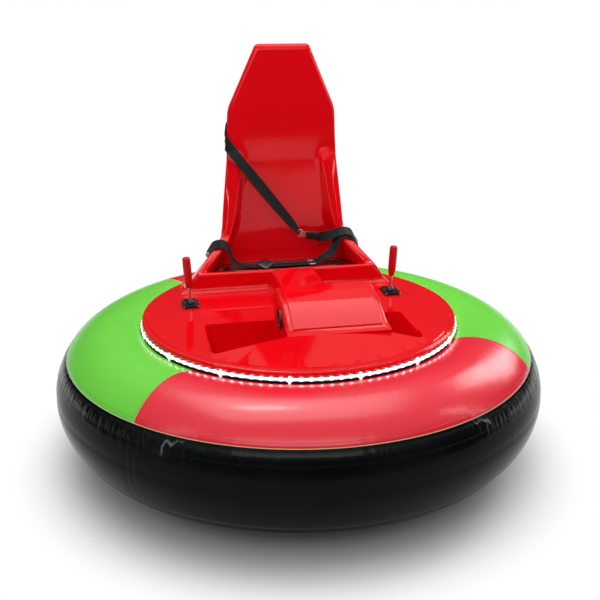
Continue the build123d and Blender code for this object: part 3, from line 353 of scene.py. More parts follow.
for side, sign in sides:
    points = np.stack([0 * slant + (sign * wheel_x + across) / 1000, radius * np.cos(slant),
                       axle_high / 1000 + radius * np.sin(slant)], -1)
    tyre = mesh_piece(f"treaded_tyre_{side}", points, [tyre_faces], tyre_rubber, 0.6, f"wheel_{side}")
    welded(tyre)
    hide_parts(f"wheel_tyre_{side}")
    turned(f"motor_fins_{side}", (0, 0, axle_high), (sign, 0, 0), fins, grey_casting, 48, 0.5)
    for number, turn in enumerate(np.radians((45, 135, 225, 315))):
        spot = (sign * bracket_x, bolt_circle * np.cos(turn), axle_high + bolt_circle * np.sin(turn))
        hex_piece(f"bracket_bolt_{side}_{number}", spot, (sign, 0, 0), head(6.4, 7.5, 14))
    hex_piece(f"hub_nut_{side}", (sign * wheel_x, 0, axle_high), (sign, 0, 0), head(13, 24, 27.6, 1.5),
              f"wheel_{side}")


# Casters. Zinc plated pressed plates and forks with a grey elastic wheel on a steel pin. Four hex bolts with nuts
# hold each plate to its cross member.
caster_rubber = worn_material(
    "caster rubber", (0.05, 0.05, 0.053), (0.075, 0.074, 0.072), 0.5, 0.75, 0.02, 0.001, 0.0001, 0.2, 0.3
)
finish_nodes(bright_zinc, "caster_plate", "caster_fork")
finish_nodes(caster_rubber, "caster_wheel")
plate_low, member_low = 155, 165
for end, y in (("front", -330), ("rear", 330)):
    for number, (dx, dy) in enumerate(((-39, -31), (39, -31), (39, 31), (-39, 31))):
        hex_piece(f"caster_bolt_{end}_{number}", (dx, y + dy, plate_low), (0, 0, -1), head(6.4, -0.5, 6))
        hex_piece(f"caster_nut_{end}_{number}", (dx, y + dy, member_low), (0, 0, 1),
                  ((0, -0.5), (6.4, -0.5), (6.4, 5.2), (4, 5.6), (4, 8.6), (3.4, 9.2), (0, 9.2)))


# Inflated ring. Sheets of coated vinyl are welded edge over edge into one fat tube, black below and four
# coloured panels above. Each weld draws the skin in a little, and the skin bulges and puckers between welds.
ring_radius = 0.707
tube_radius = 0.243
ring_height = 0.300
colour_edge = np.radians(36)
steps_round = 720
wrinkle_depth = 0.0009
panel_spans = {"front": (-137, -31), "right": (-31, 62.5), "rear": (62.5, 129.5), "left": (129.5, 223)}
panel_joins = np.radians([start for start, stop in panel_spans.values()])


def seam_pinch(theta, phi, seams, joins):
    """How far the skin is drawn in: a bell-shaped valley along each ring seam and each cross join."""
    depth = np.zeros(np.broadcast(theta, phi).shape)
    for angle, deep, wide in seams:
        depth = depth + deep * np.exp(-((phi - np.radians(angle)) * tube_radius / wide) ** 2)
    for angle, deep, wide in joins:
        turn = (theta - angle + np.pi) % (2 * np.pi) - np.pi
        depth = depth + deep * np.exp(-(turn * (ring_radius + tube_radius) / wide) ** 2)
    return depth


def ring_skin(theta, phi, lift):
    """Point of the tube at ring angle theta and section angle phi: the torus less its seam valleys and wrinkles.
    A wrinkle is a sum of waves round the ring, strongest next to the colour edge and fading away from it."""
    theta, phi = np.meshgrid(theta, phi, indexing="ij")
    seams = (
        (36, 0.0022, 0.011), (23.5, 0.0012, 0.008), (3, 0.0016, 0.010), (-36.5, 0.003, 0.012), (-78, 0.003, 0.014)
    )
    joins = [(turn, 0.0008, 0.006) for turn in panel_joins] + [(turn + 0.035, 0.0006, 0.005) for turn in panel_joins]
    pinch = seam_pinch(theta, phi, seams, joins)
    ripple = np.zeros(theta.shape)
    for count, share, start in ((61, 0.30, 0.4), (97, 0.35, 2.1), (143, 0.35, 4.0)):
        ripple += share * np.cos(count * theta + start + 1.5 * np.sin(5 * theta + start))
    fade = np.exp(-np.abs(phi - colour_edge) * tube_radius / 0.05)
    radius = tube_radius - 0.0002 + lift - pinch - wrinkle_depth * (0.6 + 0.6 * ripple) * fade
    across = ring_radius + radius * np.cos(phi)
    return np.stack([across * np.cos(theta), across * np.sin(theta), ring_height + radius * np.sin(phi)], -1)


def float_attribute(piece, name, values):
    """Stores one number a vertex for the material to read."""
    attribute = piece.data.attributes.new(name, "FLOAT", "POINT")
    attribute.data.foreach_set("value", values.astype(np.float32).ravel())


def stored(tree, name):
    """Output of a number that a mesh stores at its vertices."""
    return new_node(tree, "Attribute", attribute_name=name).outputs["Fac"]


pucker, inlet, outlet = new_group("pucker", {"Pitch": 0.018, "Depth": 0.001}, ("Height", "Tight"))
turn = stored(pucker, "turn")
below = stored(pucker, "below")
spot = new_node(pucker, "CombineXYZ", {"X": maths(pucker, "DIVIDE", turn, inlet.outputs["Pitch"]),
                                                 "Y": maths(pucker, "MULTIPLY", below, 7.0)}).outputs[0]
folds = noise(pucker, spot, 1.0, 2.0)
spells = noise(pucker, new_node(pucker, "CombineXYZ", {"X": turn}).outputs[0], 2.2, 1.0)
reach = maths(pucker, "MULTIPLY", ramp(pucker, below, 0.004, 0.02), ramp(pucker, below, 0.085, 0.03))
height = maths(pucker, "MULTIPLY", maths(pucker, "MULTIPLY", ramp(pucker, folds, 0.3, 0.7), reach),
               ramp(pucker, spells, 0.34, 0.5))
join(pucker, outlet, {"Height": maths(pucker, "MULTIPLY", height, inlet.outputs["Depth"]), "Tight": reach})


def vinyl(name, colour, second, roughness, lines, line_colour=None, puckers=0.0, gloss=0.3):
    """Coated vinyl sheet: soft gloss with slow waves, narrow weld lines pressed in, and a pale cut edge.
    lines is (attribute, distance in metres, width) for each pressed line."""
    material, tree, shader = new_material(name, colour, roughness, specular=gloss)
    worn = used_group(tree, wear, Size=0.35, Grain=0.03, Depth=0.0004, Scratches=0.12)
    tint = mixed(tree, worn.outputs["Patches"], colour, second)
    pressed = None
    for attribute, distance, width in lines:
        away = maths(tree, "ABSOLUTE", maths(tree, "SUBTRACT", stored(tree, attribute), distance))
        line = ramp(tree, away, width, width * 0.3)
        pressed = line if pressed is None else maths(tree, "MAXIMUM", pressed, line)
    tint = mixed(tree, maths(tree, "MULTIPLY", pressed, 0.55), tint, tuple(0.25 * c for c in colour))
    if line_colour:
        tint = mixed(tree, ramp(tree, stored(tree, "edge"), 0.0032, 0.0016), tint, line_colour)
    rough = maths(tree, "MULTIPLY_ADD", worn.outputs["Patches"], 0.08, roughness)
    height = maths(tree, "MULTIPLY", pressed, -0.0006)
    if puckers:
        folded = used_group(tree, pucker, Depth=puckers)
        height = maths(tree, "ADD", height, folded.outputs["Height"])
        join(tree, shader, {"Coat Weight": maths(tree, "MULTIPLY", folded.outputs["Tight"], 0.25)})
    bump = new_node(tree, "Bump", {"Height": height, "Distance": 1.0, "Normal": worn.outputs["Normal"]})
    join(tree, shader, {"Base Color": tint, "Roughness": rough, "Normal": bump.outputs[0]})
    return material


black_vinyl = vinyl(
    "black vinyl", (0.0018, 0.0028, 0.003), (0.0035, 0.0046, 0.005), 0.16,
    (("below", 0.0127, 0.0012), ("below", 0.053, 0.0010), ("below", 0.140, 0.0010), ("below", 0.3075, 0.0014),
     ("join", 0.0, 0.0012), ("join", 0.032, 0.0012)),
    puckers=0.0036, gloss=0.06,
)
theta = np.linspace(0, 2 * np.pi, steps_round, endpoint=False)
phi = np.linspace(colour_edge + 0.06, -np.pi - colour_edge - 0.06, 116)
points = ring_skin(theta, phi, -0.0012)
lower_faces = grid_faces(*points.shape[:2], close_rows=True)[:, ::-1]
lower = mesh_piece("ring_lower", points, [lower_faces], black_vinyl, 1.2)
turn_grid, phi_grid = np.meshgrid(theta, phi, indexing="ij")
float_attribute(lower, "turn", turn_grid * (ring_radius + tube_radius))
float_attribute(lower, "below", (colour_edge - phi_grid) * tube_radius)
nearest = np.min([np.abs((turn_grid - angle + np.pi) % (2 * np.pi) - np.pi) for angle in panel_joins], 0)
float_attribute(lower, "join", nearest * (ring_radius + tube_radius * np.cos(phi_grid)))
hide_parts("tube_lower")

red_vinyl = vinyl("red vinyl", (0.78, 0.012, 0.032), (0.75, 0.010, 0.027), 0.20,
                  (("edge", 0.018, 0.0009),), (0.85, 0.62, 0.25), gloss=0.62)
green_vinyl = vinyl("green vinyl", (0.160, 0.65, 0.058), (0.146, 0.61, 0.050), 0.26,
                    (("edge", 0.018, 0.0007),), (0.80, 0.78, 0.60))
for name, overlap, lift, material, slot in (
    ("front", 0.0, 0.0, red_vinyl, "red_vinyl"), ("rear", 0.0, 0.0, red_vinyl, "red_vinyl"),
    ("left", 0.016, -0.0007, green_vinyl, "green_vinyl"), ("right", 0.016, -0.0007, green_vinyl, "green_vinyl"),
):
    first, last = np.radians(panel_spans[name]) + (-overlap, overlap)
    count = int(round((last - first) / (2 * np.pi) * steps_round)) + 1
    theta = np.concatenate([[first], np.linspace(first + 0.0006, last - 0.0006, count), [last]])
    phi = np.concatenate([[colour_edge], np.linspace(colour_edge + 0.002, np.pi - colour_edge - 0.002, 52),
                          [np.pi - colour_edge]])
    points = ring_skin(theta, phi, lift)
    inner = ring_skin(theta, phi, lift - 0.0011)
    points[0], points[-1], points[:, 0], points[:, -1] = inner[0], inner[-1], inner[:, 0], inner[:, -1]
    panel = mesh_piece(f"ring_panel_{name}", points, [grid_faces(len(theta), len(phi))], material, 1.2)
    turn_grid, phi_grid = np.meshgrid(theta, phi, indexing="ij")
    along = np.minimum(turn_grid - first, last - turn_grid) * (ring_radius + tube_radius * np.cos(phi_grid))
    up = np.minimum(phi_grid - colour_edge, np.pi - colour_edge - phi_grid) * tube_radius
    float_attribute(panel, "edge", np.minimum(along, up))
    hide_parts(f"tube_panel_{name}")


# Body moulding. Glass fibre laid up in one polished mould: red gelcoat with a mirror gloss, a little long-range
# ripple and hair-fine scratches where feet and hands rub it. The console's cover is a second moulding laid on top.
red_gelcoat = worn_material(
    "red gelcoat", (0.76, 0.001, 0.006), (0.72, 0.001, 0.005), 0.06, 0.10, 0.3, 0.05, 0.0002, 0.15, specular=0.3
)
finish_nodes(red_gelcoat, "body_shell", "console_cover")


def rolled_edges(node, width):
    """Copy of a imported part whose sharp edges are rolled: its loose triangles are merged, flat neighbours are
    joined, and a bevel of four steps follows every edge sharper than 28 degrees."""
    mesh = nodes[node].data.copy()
    shape = bmesh.new()
    shape.from_mesh(mesh)
    bmesh.ops.remove_doubles(shape, verts=shape.verts, dist=0.00002)
    bmesh.ops.dissolve_limit(shape, angle_limit=0.004, verts=shape.verts, edges=shape.edges)
    shape.to_mesh(mesh)
    shape.free()
    mesh.shade_smooth()
    mesh.set_sharp_from_angle(angle=np.radians(11))
    piece = placed(f"{node}_rolled", mesh)
    bevel = piece.modifiers.new("rolled edge", "BEVEL")
    bevel.width = width
    bevel.segments = 4
    bevel.angle_limit = np.radians(28)
    even = piece.modifiers.new("even shading", "WEIGHTED_NORMAL")
    even.keep_sharp = True
    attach(piece, "base")
    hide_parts(node)
    return piece


rolled_edges("body_shell", 0.007)
rolled_edges("console_cover", 0.002)
black_plastic = worn_material(
    "black plastic", (0.007, 0.007, 0.008), (0.011, 0.011, 0.012), 0.24, 0.36, 0.05, 0.0012, 0.00008, 0.3
)
finish_nodes(black_plastic, "console_port", "edge_strip", "lever_base", "lever_dome")


def cord_round(name, centres, radius, material, closed=False):
    """Round cord: a circle of 10 points carried along a line of centres, square to it."""
    along = unit(np.roll(centres, -1, 0) - np.roll(centres, 1, 0) if closed else np.gradient(centres, axis=0))
    side = unit(np.cross(along, (0.0, 0.0, 1.0)))
    lift = np.cross(side, along)
    turn = np.linspace(0, 2 * np.pi, 10, endpoint=False)[None, :, None]
    points = centres[:, None] + radius * (np.cos(turn) * side[:, None] + np.sin(turn) * lift[:, None])
    return mesh_piece(name, points, [grid_faces(len(centres), 10, closed, True)], material, 1.5)


def block(name, centre, axes, size, square, material, slot):
    """Rounded block: the superellipsoid whose three sines and cosines are raised to a power below one, so that it
    is nearly a box with soft edges. axes holds its three directions, size its length, width and height."""
    turn = np.linspace(0, 2 * np.pi, 48, endpoint=False)[:, None]
    rise = np.linspace(-np.pi / 2, np.pi / 2, 25)[None, :]
    flat, tall = square

    def soft(value, power):
        return np.sign(value) * np.abs(value) ** power

    local = np.stack([soft(np.cos(rise), tall) * soft(np.cos(turn), flat),
                      soft(np.cos(rise), tall) * soft(np.sin(turn), flat),
                      soft(np.sin(rise), tall) * np.ones_like(turn)], -1)
    points = np.array(centre) / 1000 + (local * np.array(size) / 2000) @ unit(np.array(axes, float))
    return welded(mesh_piece(name, points, [grid_faces(48, 25, close_rows=True)], material, 0.8))


# A low stiffening bead is pressed into the deck left of the console, and a thin black block lies in the slot behind
# the cover's rear edge: painted shade standing for the shadow in that gap
deck_top = 0.5694
bead_path = np.column_stack([np.linspace(-0.330, -0.112, 24), np.full(24, 0.048), np.full(24, deck_top - 0.0012)])
cord_round("deck_bead", bead_path, 0.0030, red_gelcoat)
block("cover_gap_painted_shade", (72, -80, 690.2), np.eye(3), (112, 11, 5.6), (0.2, 0.5), black_plastic, "black_plastic")


# Rope light. A clear round vinyl rope with a bright lamp every 33 mm is held under the lip of the deck by sixteen
# cross-shaped white nylon clips, whose long arms lie on the skirt above and below the rope.
light_ring = 0.6073
lamp_pitch = 0.0333
rope_low, rope_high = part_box("rim_light")
rope_middle = (rope_low[2] + rope_high[2]) / 2
rope, tree, shader = new_material("lit rope", (0.9, 0.9, 0.92), 0.2, coat=0.5)
place = new_node(tree, "TexCoord").outputs["Object"]
axes = new_node(tree, "SeparateXYZ", {0: place})
angle = maths(tree, "ARCTAN2", axes.outputs["Y"], axes.outputs["X"])
wave = maths(tree, "COSINE", maths(tree, "MULTIPLY", angle, float(round(2 * np.pi * light_ring / lamp_pitch))))
aside = maths(tree, "ABSOLUTE", maths(tree, "SUBTRACT", axes.outputs["Z"], rope_middle + 0.0026))
lit = mixed(tree, ramp(tree, wave, 0.1, 1.0), (0.11, 0.105, 0.11), (1.0, 0.99, 1.0))
# The rope's upper and lower edges get a dark red-grey colour and almost no glow: painted shade
rope_edge_painted_shade = ramp(tree, aside, 0.0018, 0.0066)
join(tree, shader, {
    "Emission Color": mixed(tree, rope_edge_painted_shade, lit, (0.004, 0.002, 0.0025)), "Emission Strength": 7.0,
    "Base Color": mixed(tree, rope_edge_painted_shade, (0.8, 0.78, 0.8), (0.10, 0.055, 0.065)),
})
finish_nodes(rope, "rim_light")
white_nylon = worn_material(
    "white nylon", (0.86, 0.86, 0.85), (0.80, 0.80, 0.78), 0.35, 0.45, 0.01, 0.0008, 0.00005, 0.1
)
# The nylon clips glow evenly all over: painted light standing for the lamps' light coming through them
through = white_nylon.node_tree.nodes["Principled BSDF"]
join(white_nylon.node_tree, through, {"Emission Color": (1, 0.98, 0.98, 1), "Emission Strength": 0.75})
clip_count, clip_turn = 16, np.radians(-103.8)
clip_outline = np.array([(-4, -16), (4, -16), (4.5, -5), (11, -4), (11, 4), (4.5, 5), (4, 13), (-4, 13), (-4.5, 5),
                         (-11, 4), (-11, -4), (-4.5, -5)]) / 1000
fan = np.array([[0, 1, 2, 11], [11, 2, 5, 8], [8, 5, 6, 7], [2, 3, 4, 5], [11, 8, 9, 10]])
# The arms' ends step back by 4 mm from the face, whose edge is bevelled
face_step = 0.0112 - 0.004 * (np.abs(clip_outline[:, 1]) > 0.012)
clip_rows = np.stack([
    np.column_stack([clip_outline[:, 0] * size, step, clip_outline[:, 1] * size])
    for size, step in ((1.0, face_step - 0.006), (1.0, face_step - 0.0008), (0.9, face_step))
])
clip_turns = clip_turn + 2 * np.pi * np.arange(clip_count) / clip_count
outward = np.stack([np.cos(clip_turns), np.sin(clip_turns), 0 * clip_turns], 1)
beside = np.stack([-np.sin(clip_turns), np.cos(clip_turns), 0 * clip_turns], 1)
clip_points = (
    outward[:, None, None] * (light_ring + clip_rows[None, :, :, 1:2])
    + beside[:, None, None] * clip_rows[None, :, :, :1]
    + np.array((0, 0, 1.0)) * (rope_middle + clip_rows[None, :, :, 2:])
)
rows, columns = clip_rows.shape[:2]
clip_faces = np.concatenate([grid_faces(rows, columns, close_columns=True), fan + (rows - 1) * columns, fan[:, ::-1]])
clip_faces = repeated(clip_faces, rows * columns, clip_count)
clips = mesh_piece("light_cross_clips", clip_points, [clip_faces], white_nylon, 0.6)
welded(clips)
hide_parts("light_clips")


# Seat. One glass-fibre moulding: a foot that leans inward from a cove on the deck, sloping side rims, a pan
# between two bolsters, and a tall back whose upper half is a flat face with a broad rolled edge.
def rounded(points, radii, steps=5):
    """Line of points along the first axis with its inner corners rounded: each corner becomes a quadratic curve
    between two cut points, a radius away from it on either side and never past 0.45 of the way to the next."""
    before, corner, after = points[:-2], points[1:-1], points[2:]
    radii = np.asarray(radii, float)
    radii = radii.reshape(*radii.shape, *([1] * (points.ndim - radii.ndim)))

    def cut(toward):
        run = toward - corner
        length = np.maximum(np.linalg.norm(run, axis=-1, keepdims=True), 1e-9)
        return corner + run * np.minimum(radii / length, 0.45)

    t = np.linspace(0, 1, steps).reshape(1, -1, *([1] * (points.ndim - 1)))
    first, last = cut(before)[:, None], cut(after)[:, None]
    arcs = (1 - t) ** 2 * first + 2 * t * (1 - t) * corner[:, None] + t ** 2 * last
    return np.concatenate([points[:1], arcs.reshape(-1, *points.shape[1:]), points[-1:]])


# Left half of the seat in millimetres, from the middle of the front rim round to the middle of the back's top.
# Columns: spine inside, foot of the inner wall, inner rim edge, outer rim edge, wall above the cove, cove's
# toe, spine outside. From the sixth row on, the wall and the toe are the side's front and rear edges, and the
# rim is the bolster's crest, which ends in a round tip where the flat upper back with its chamfer begins.
seat_rows = np.array([
    [(0, 300, 600), (0, 296, 600), (0, 296, 650), (0, 268, 650), (0, 268, 587), (0, 250, 569.4), (0, 300, 569.4)],
    [(0, 305, 600), (-340, 296, 600), (-345, 296, 650), (-383, 268, 650), (-434, 268, 587), (-458, 250, 569.4),
     (0, 305, 569.4)],
    [(0, 400, 600), (-300, 400, 600), (-249, 400, 739), (-293, 400, 739), (-411, 401, 587), (-437, 405, 569.4),
     (0, 400, 569.4)],
    [(0, 440, 600), (-287, 430, 600), (-232, 428, 763), (-277, 428, 763), (-322, 470, 587), (-341, 482, 569.4),
     (0, 440, 569.4)],
    [(0, 462, 600), (-272, 462, 600), (-231, 431, 775), (-275, 431, 775), (-245, 543, 610), (-240, 546, 569.4),
     (0, 546, 569.4)],
    [(0, 480, 650), (-240, 480, 650), (-228, 433, 790), (-254, 433, 790), (-274, 452, 775), (-266, 539, 700),
     (0, 539, 700)],
    [(0, 497, 765), (-205, 497, 765), (-221, 436, 808), (-246, 436, 808), (-270, 456, 800), (-246, 535, 775),
     (0, 535, 775)],
    [(0, 503, 850), (-184, 503, 850), (-212, 444, 850), (-238, 444, 850), (-266, 466, 850), (-250, 535, 850),
     (0, 535, 850)],
    [(0, 515, 1076), (-156, 515, 1076), (-176, 487, 1076), (-194, 487, 1076), (-243, 506, 1080),
     (-229, 535, 1080), (0, 535, 1080)],
    [(0, 516, 1116), (-160, 516, 1116), (-181, 514, 1112), (-190, 514, 1112), (-243, 512, 1112),
     (-227, 536, 1112), (0, 536, 1112)],
    [(0, 518, 1190), (-180, 518, 1190), (-208, 518, 1190), (-224, 518, 1190), (-240, 524, 1190),
     (-224, 540, 1190), (0, 540, 1190)],
    [(0, 523, 1290), (-180, 523, 1290), (-205, 523, 1288), (-217, 523, 1284), (-235, 532, 1290),
     (-220, 544, 1290), (0, 544, 1290)],
    [(0, 537, 1518), (-80, 537, 1518), (-97, 537, 1524), (-105, 538, 1532), (-117, 549, 1551),
     (-104, 561, 1551), (0, 561, 1535)],
    [(0, 537, 1518), (-1, 537, 1518), (-1, 537, 1524), (-1, 538, 1532), (-1, 549, 1551), (-1, 561, 1551),
     (0, 561, 1536)],
], float) / 1000
seat_half = rounded(seat_rows, np.array([20, 60, 30, 20, 20, 30, 60, 14, 16, 60, 26, 12]) / 1000, 7)
spans = []
for first, last in zip(seat_half[:-1], seat_half[1:]):
    parts = max(1, int(np.linalg.norm(last[3] - first[3]) / 0.03))
    spans.append(first + (last - first) * (np.arange(parts) / parts)[:, None, None])
seat_half = np.concatenate(spans + [seat_half[-1:]])
rolls = np.array([16, 13, 13, 12, 8])[:, None] / 1000 * np.ones(len(seat_half))
seat_section = rounded(seat_half.swapaxes(0, 1), rolls, 7).swapaxes(0, 1)
mirror = seat_section[::-1] * (-1, 1, 1)
seat_points = np.concatenate([seat_section, mirror])
seat_points[..., 0] += np.interp(
    seat_points[..., 2], (0.569, 0.65, 0.765, 1.1, 1.19, 1.29, 1.552), (0, 0.009, 0.021, 0.027, 0.028, 0.030, 0.038)
)
seat_faces = grid_faces(*seat_points.shape[:2], close_rows=True)
seat = welded(mesh_piece("seat_moulding", seat_points, [seat_faces], red_gelcoat, 0.9))
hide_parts("seat_shell")


# Seat cushion. A foam pad in glossy black coated cloth lies loose in the pan. Its cover is blown up over the
# foam and drawn in by a corded seam round the top edge and by two lines of stitching across it.
cushion_front, cushion_rear, cushion_low, cushion_high = 0.3035, 0.456, 0.6012, 0.6395
cushion_middle, front_half, rear_half = 0.009, 0.337, 0.252


def pad_form(outline, bulge, low, high, inset):
    """Closed pad: its outline, corners rounded, shrinks to the middle over the top and under the bottom; height
    and width follow a quarter of a superellipse, so that the sides are round and the faces nearly flat."""
    t = np.linspace(-np.pi / 2, np.pi / 2, 25)
    reach = np.abs(np.cos(t)) ** 0.45
    height = low + (high - low) * (0.5 + 0.5 * np.sign(t) * np.abs(np.sin(t)) ** 0.6)
    centre = outline.mean(0)
    shrink = 1 - inset / np.linalg.norm(outline - centre, axis=1)
    rim = centre + (outline - centre) * shrink[:, None]
    plan = centre + (rim[:, None] - centre) * reach[None, :, None]
    crown = bulge * (1 - reach) * np.sign(t)
    return np.concatenate([plan, np.broadcast_to((height + crown)[None, :, None], (len(outline), 25, 1))], 2)


def run_along(line):
    """Distance run along a line at each of its points."""
    return np.concatenate([[0], np.cumsum(np.linalg.norm(np.diff(line, axis=0), axis=1))])


def closed_curve(corners, radius, count):
    """Points at even steps along a closed line with rounded corners."""
    line = np.concatenate([corners[-1:], corners, corners[:1]])
    line = rounded(line, np.full(len(corners), radius), 8)[1:-1]
    line = np.concatenate([line, line[:1]])
    run = run_along(line)
    steps = np.linspace(0, run[-1], count, endpoint=False)
    return np.stack([np.interp(steps, run, line[:, axis]) for axis in range(line.shape[1])], 1)


cushion_corners = np.array([
    (cushion_middle - front_half, cushion_front), (cushion_middle + front_half, cushion_front),
    (cushion_middle + rear_half, cushion_rear), (cushion_middle - rear_half, cushion_rear),
])
cushion_outline = closed_curve(cushion_corners, 0.020, 220)
seat_vinyl = worn_material(
    "seat vinyl", (0.006, 0.006, 0.007), (0.010, 0.009, 0.011), 0.14, 0.24, 0.06, 0.0016, 0.00008, 0.12
)
start_form = pad_form(cushion_outline, 0.001, cushion_low + 0.004, cushion_high - 0.009, 0.006)
start_faces = grid_faces(*start_form.shape[:2], close_rows=True)
cushion = welded(mesh_piece("seat_cushion_pad", start_form, [start_faces], seat_vinyl, 1.2), 0.0004)


def point_array(mesh):
    """The mesh's points as rows of x, y and z."""
    points = np.empty(len(mesh.vertices) * 3, np.float32)
    mesh.vertices.foreach_get("co", points)
    return points.reshape(-1, 3)


def blown_up(piece, voxel, pressure, cap):
    """Cloth recipe for a pad: even mesh, 20 steps of cloth with air inside and no weight, then every point is
    moved back towards its start where it went further than the cap, and kept inside the pan."""
    bpy.context.view_layer.objects.active = piece
    piece.data.remesh_voxel_size = voxel
    bpy.ops.object.voxel_remesh()
    at_rest = point_array(piece.data)
    air = piece.modifiers.new("air", "CLOTH")
    air.settings.use_pressure = True
    air.settings.uniform_pressure_force = pressure
    air.settings.effector_weights.gravity = 0
    air.point_cache.frame_end = 25
    for step in range(1, 21):
        bpy.context.scene.frame_set(step)
    moved = point_array(piece.evaluated_get(bpy.context.evaluated_depsgraph_get()).data)
    piece.modifiers.remove(air)
    bpy.context.scene.frame_set(1)
    push = moved - at_rest
    length = np.maximum(np.linalg.norm(push, axis=1, keepdims=True), 1e-9)
    points = at_rest + push * np.minimum(1, cap / length)
    points[:, 2] = np.maximum(points[:, 2], cushion_low)
    piece.data.vertices.foreach_set("co", points.ravel())


blown_up(cushion, 0.005, 4.0, 0.009)
points = point_array(cushion.data)
# Two sewn lines: a bell-shaped valley 3.5 mm deep across the pad at each, on its top only
top = np.clip((points[:, 2] - cushion_low - 0.02) / 0.01, 0, 1)
for seam_x in (-0.118, 0.136):
    points[:, 2] -= 0.0035 * top * np.exp(-((points[:, 0] - seam_x) / 0.006) ** 2)
cushion.data.vertices.foreach_set("co", points.ravel())
cushion.data.shade_smooth()
plump = cushion.modifiers.new("plump", "SUBSURF")
plump.levels = plump.render_levels = 1
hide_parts("seat_cushion")

pad_middle = 0.378
piping_path = np.column_stack([cushion_middle + (cushion_outline[:, 0] - cushion_middle) * 0.988,
                               pad_middle + (cushion_outline[:, 1] - pad_middle) * 0.965,
                               np.full(len(cushion_outline), cushion_high - 0.0045)])
welded(cord_round("seat_cushion_piping", piping_path, 0.0026, seat_vinyl, closed=True))


# Belts. Black woven webbing with thick selvedges. One strap crosses the lap from rim to rim through an adjuster
# and a slide, one comes round the back's edge to the tongue, and a short one carries the buckle.
weave, inlet, outlet = new_group("weave", {"Pitch": 0.0016, "Half": 0.022}, ("Height", "Shade", "Selvedge"))
lie = new_node(weave, "SeparateXYZ", {0: new_node(weave, "UVMap").outputs[0]})
ribs = maths(weave, "DIVIDE", lie.outputs["X"], inlet.outputs["Pitch"])
threads = maths(weave, "DIVIDE", lie.outputs["Y"], inlet.outputs["Pitch"])
slant = maths(weave, "SINE", maths(weave, "MULTIPLY", maths(weave, "ADD", ribs, threads), 2 * np.pi))
across = maths(weave, "SINE", maths(weave, "MULTIPLY", ribs, 2 * np.pi))
cloth = maths(weave, "ADD", maths(weave, "MULTIPLY", slant, 0.35), maths(weave, "MULTIPLY", across, 0.65))
edge_gap = maths(weave, "SUBTRACT", inlet.outputs["Half"], maths(weave, "ABSOLUTE", lie.outputs["Y"]))
# Shade darkens the weave's low places and lightens its high ones: painted shade
join(weave, outlet, {"Height": cloth, "Shade": ramp(weave, cloth, -0.8, 0.8),
                     "Selvedge": ramp(weave, edge_gap, 0.0034, 0.0022)})

webbing, tree, shader = new_material("black webbing", (0.010, 0.010, 0.011), 0.5, specular=0.25)
woven = used_group(tree, weave)
worn = used_group(tree, wear)
tint = mixed(tree, woven.outputs["Shade"], (0.002, 0.0025, 0.0025), (0.007, 0.009, 0.0085))
tint = mixed(tree, woven.outputs["Selvedge"], tint, (0.012, 0.014, 0.013))
rough = maths(tree, "MULTIPLY_ADD", worn.outputs["Patches"], 0.12, 0.42)
bump = new_node(tree, "Bump", {"Height": woven.outputs["Height"], "Distance": 0.0003})
join(tree, shader, {"Base Color": tint, "Roughness": rough, "Normal": bump.outputs[0], "Sheen Weight": 0.03,
                    "Sheen Roughness": 0.4})


def smooth_path(knots, parts):
    """Catmull-Rom curve through rows of numbers: each span is the cubic whose slopes are half the step between
    the neighbours on either side."""
    ends = np.concatenate([2 * knots[:1] - knots[1:2], knots, 2 * knots[-1:] - knots[-2:-1]])
    before, first, last, after = ends[:-3, None], ends[1:-2, None], ends[2:-1, None], ends[3:, None]
    t = np.linspace(0, 1, parts, endpoint=False)[None, :, None]
    line = first + 0.5 * t * (last - before + t * (2 * before - 5 * first + 4 * last - after
                                                    + t * (3 * (first - last) + after - before)))
    return np.concatenate([line.reshape(-1, knots.shape[1]), knots[-1:]])


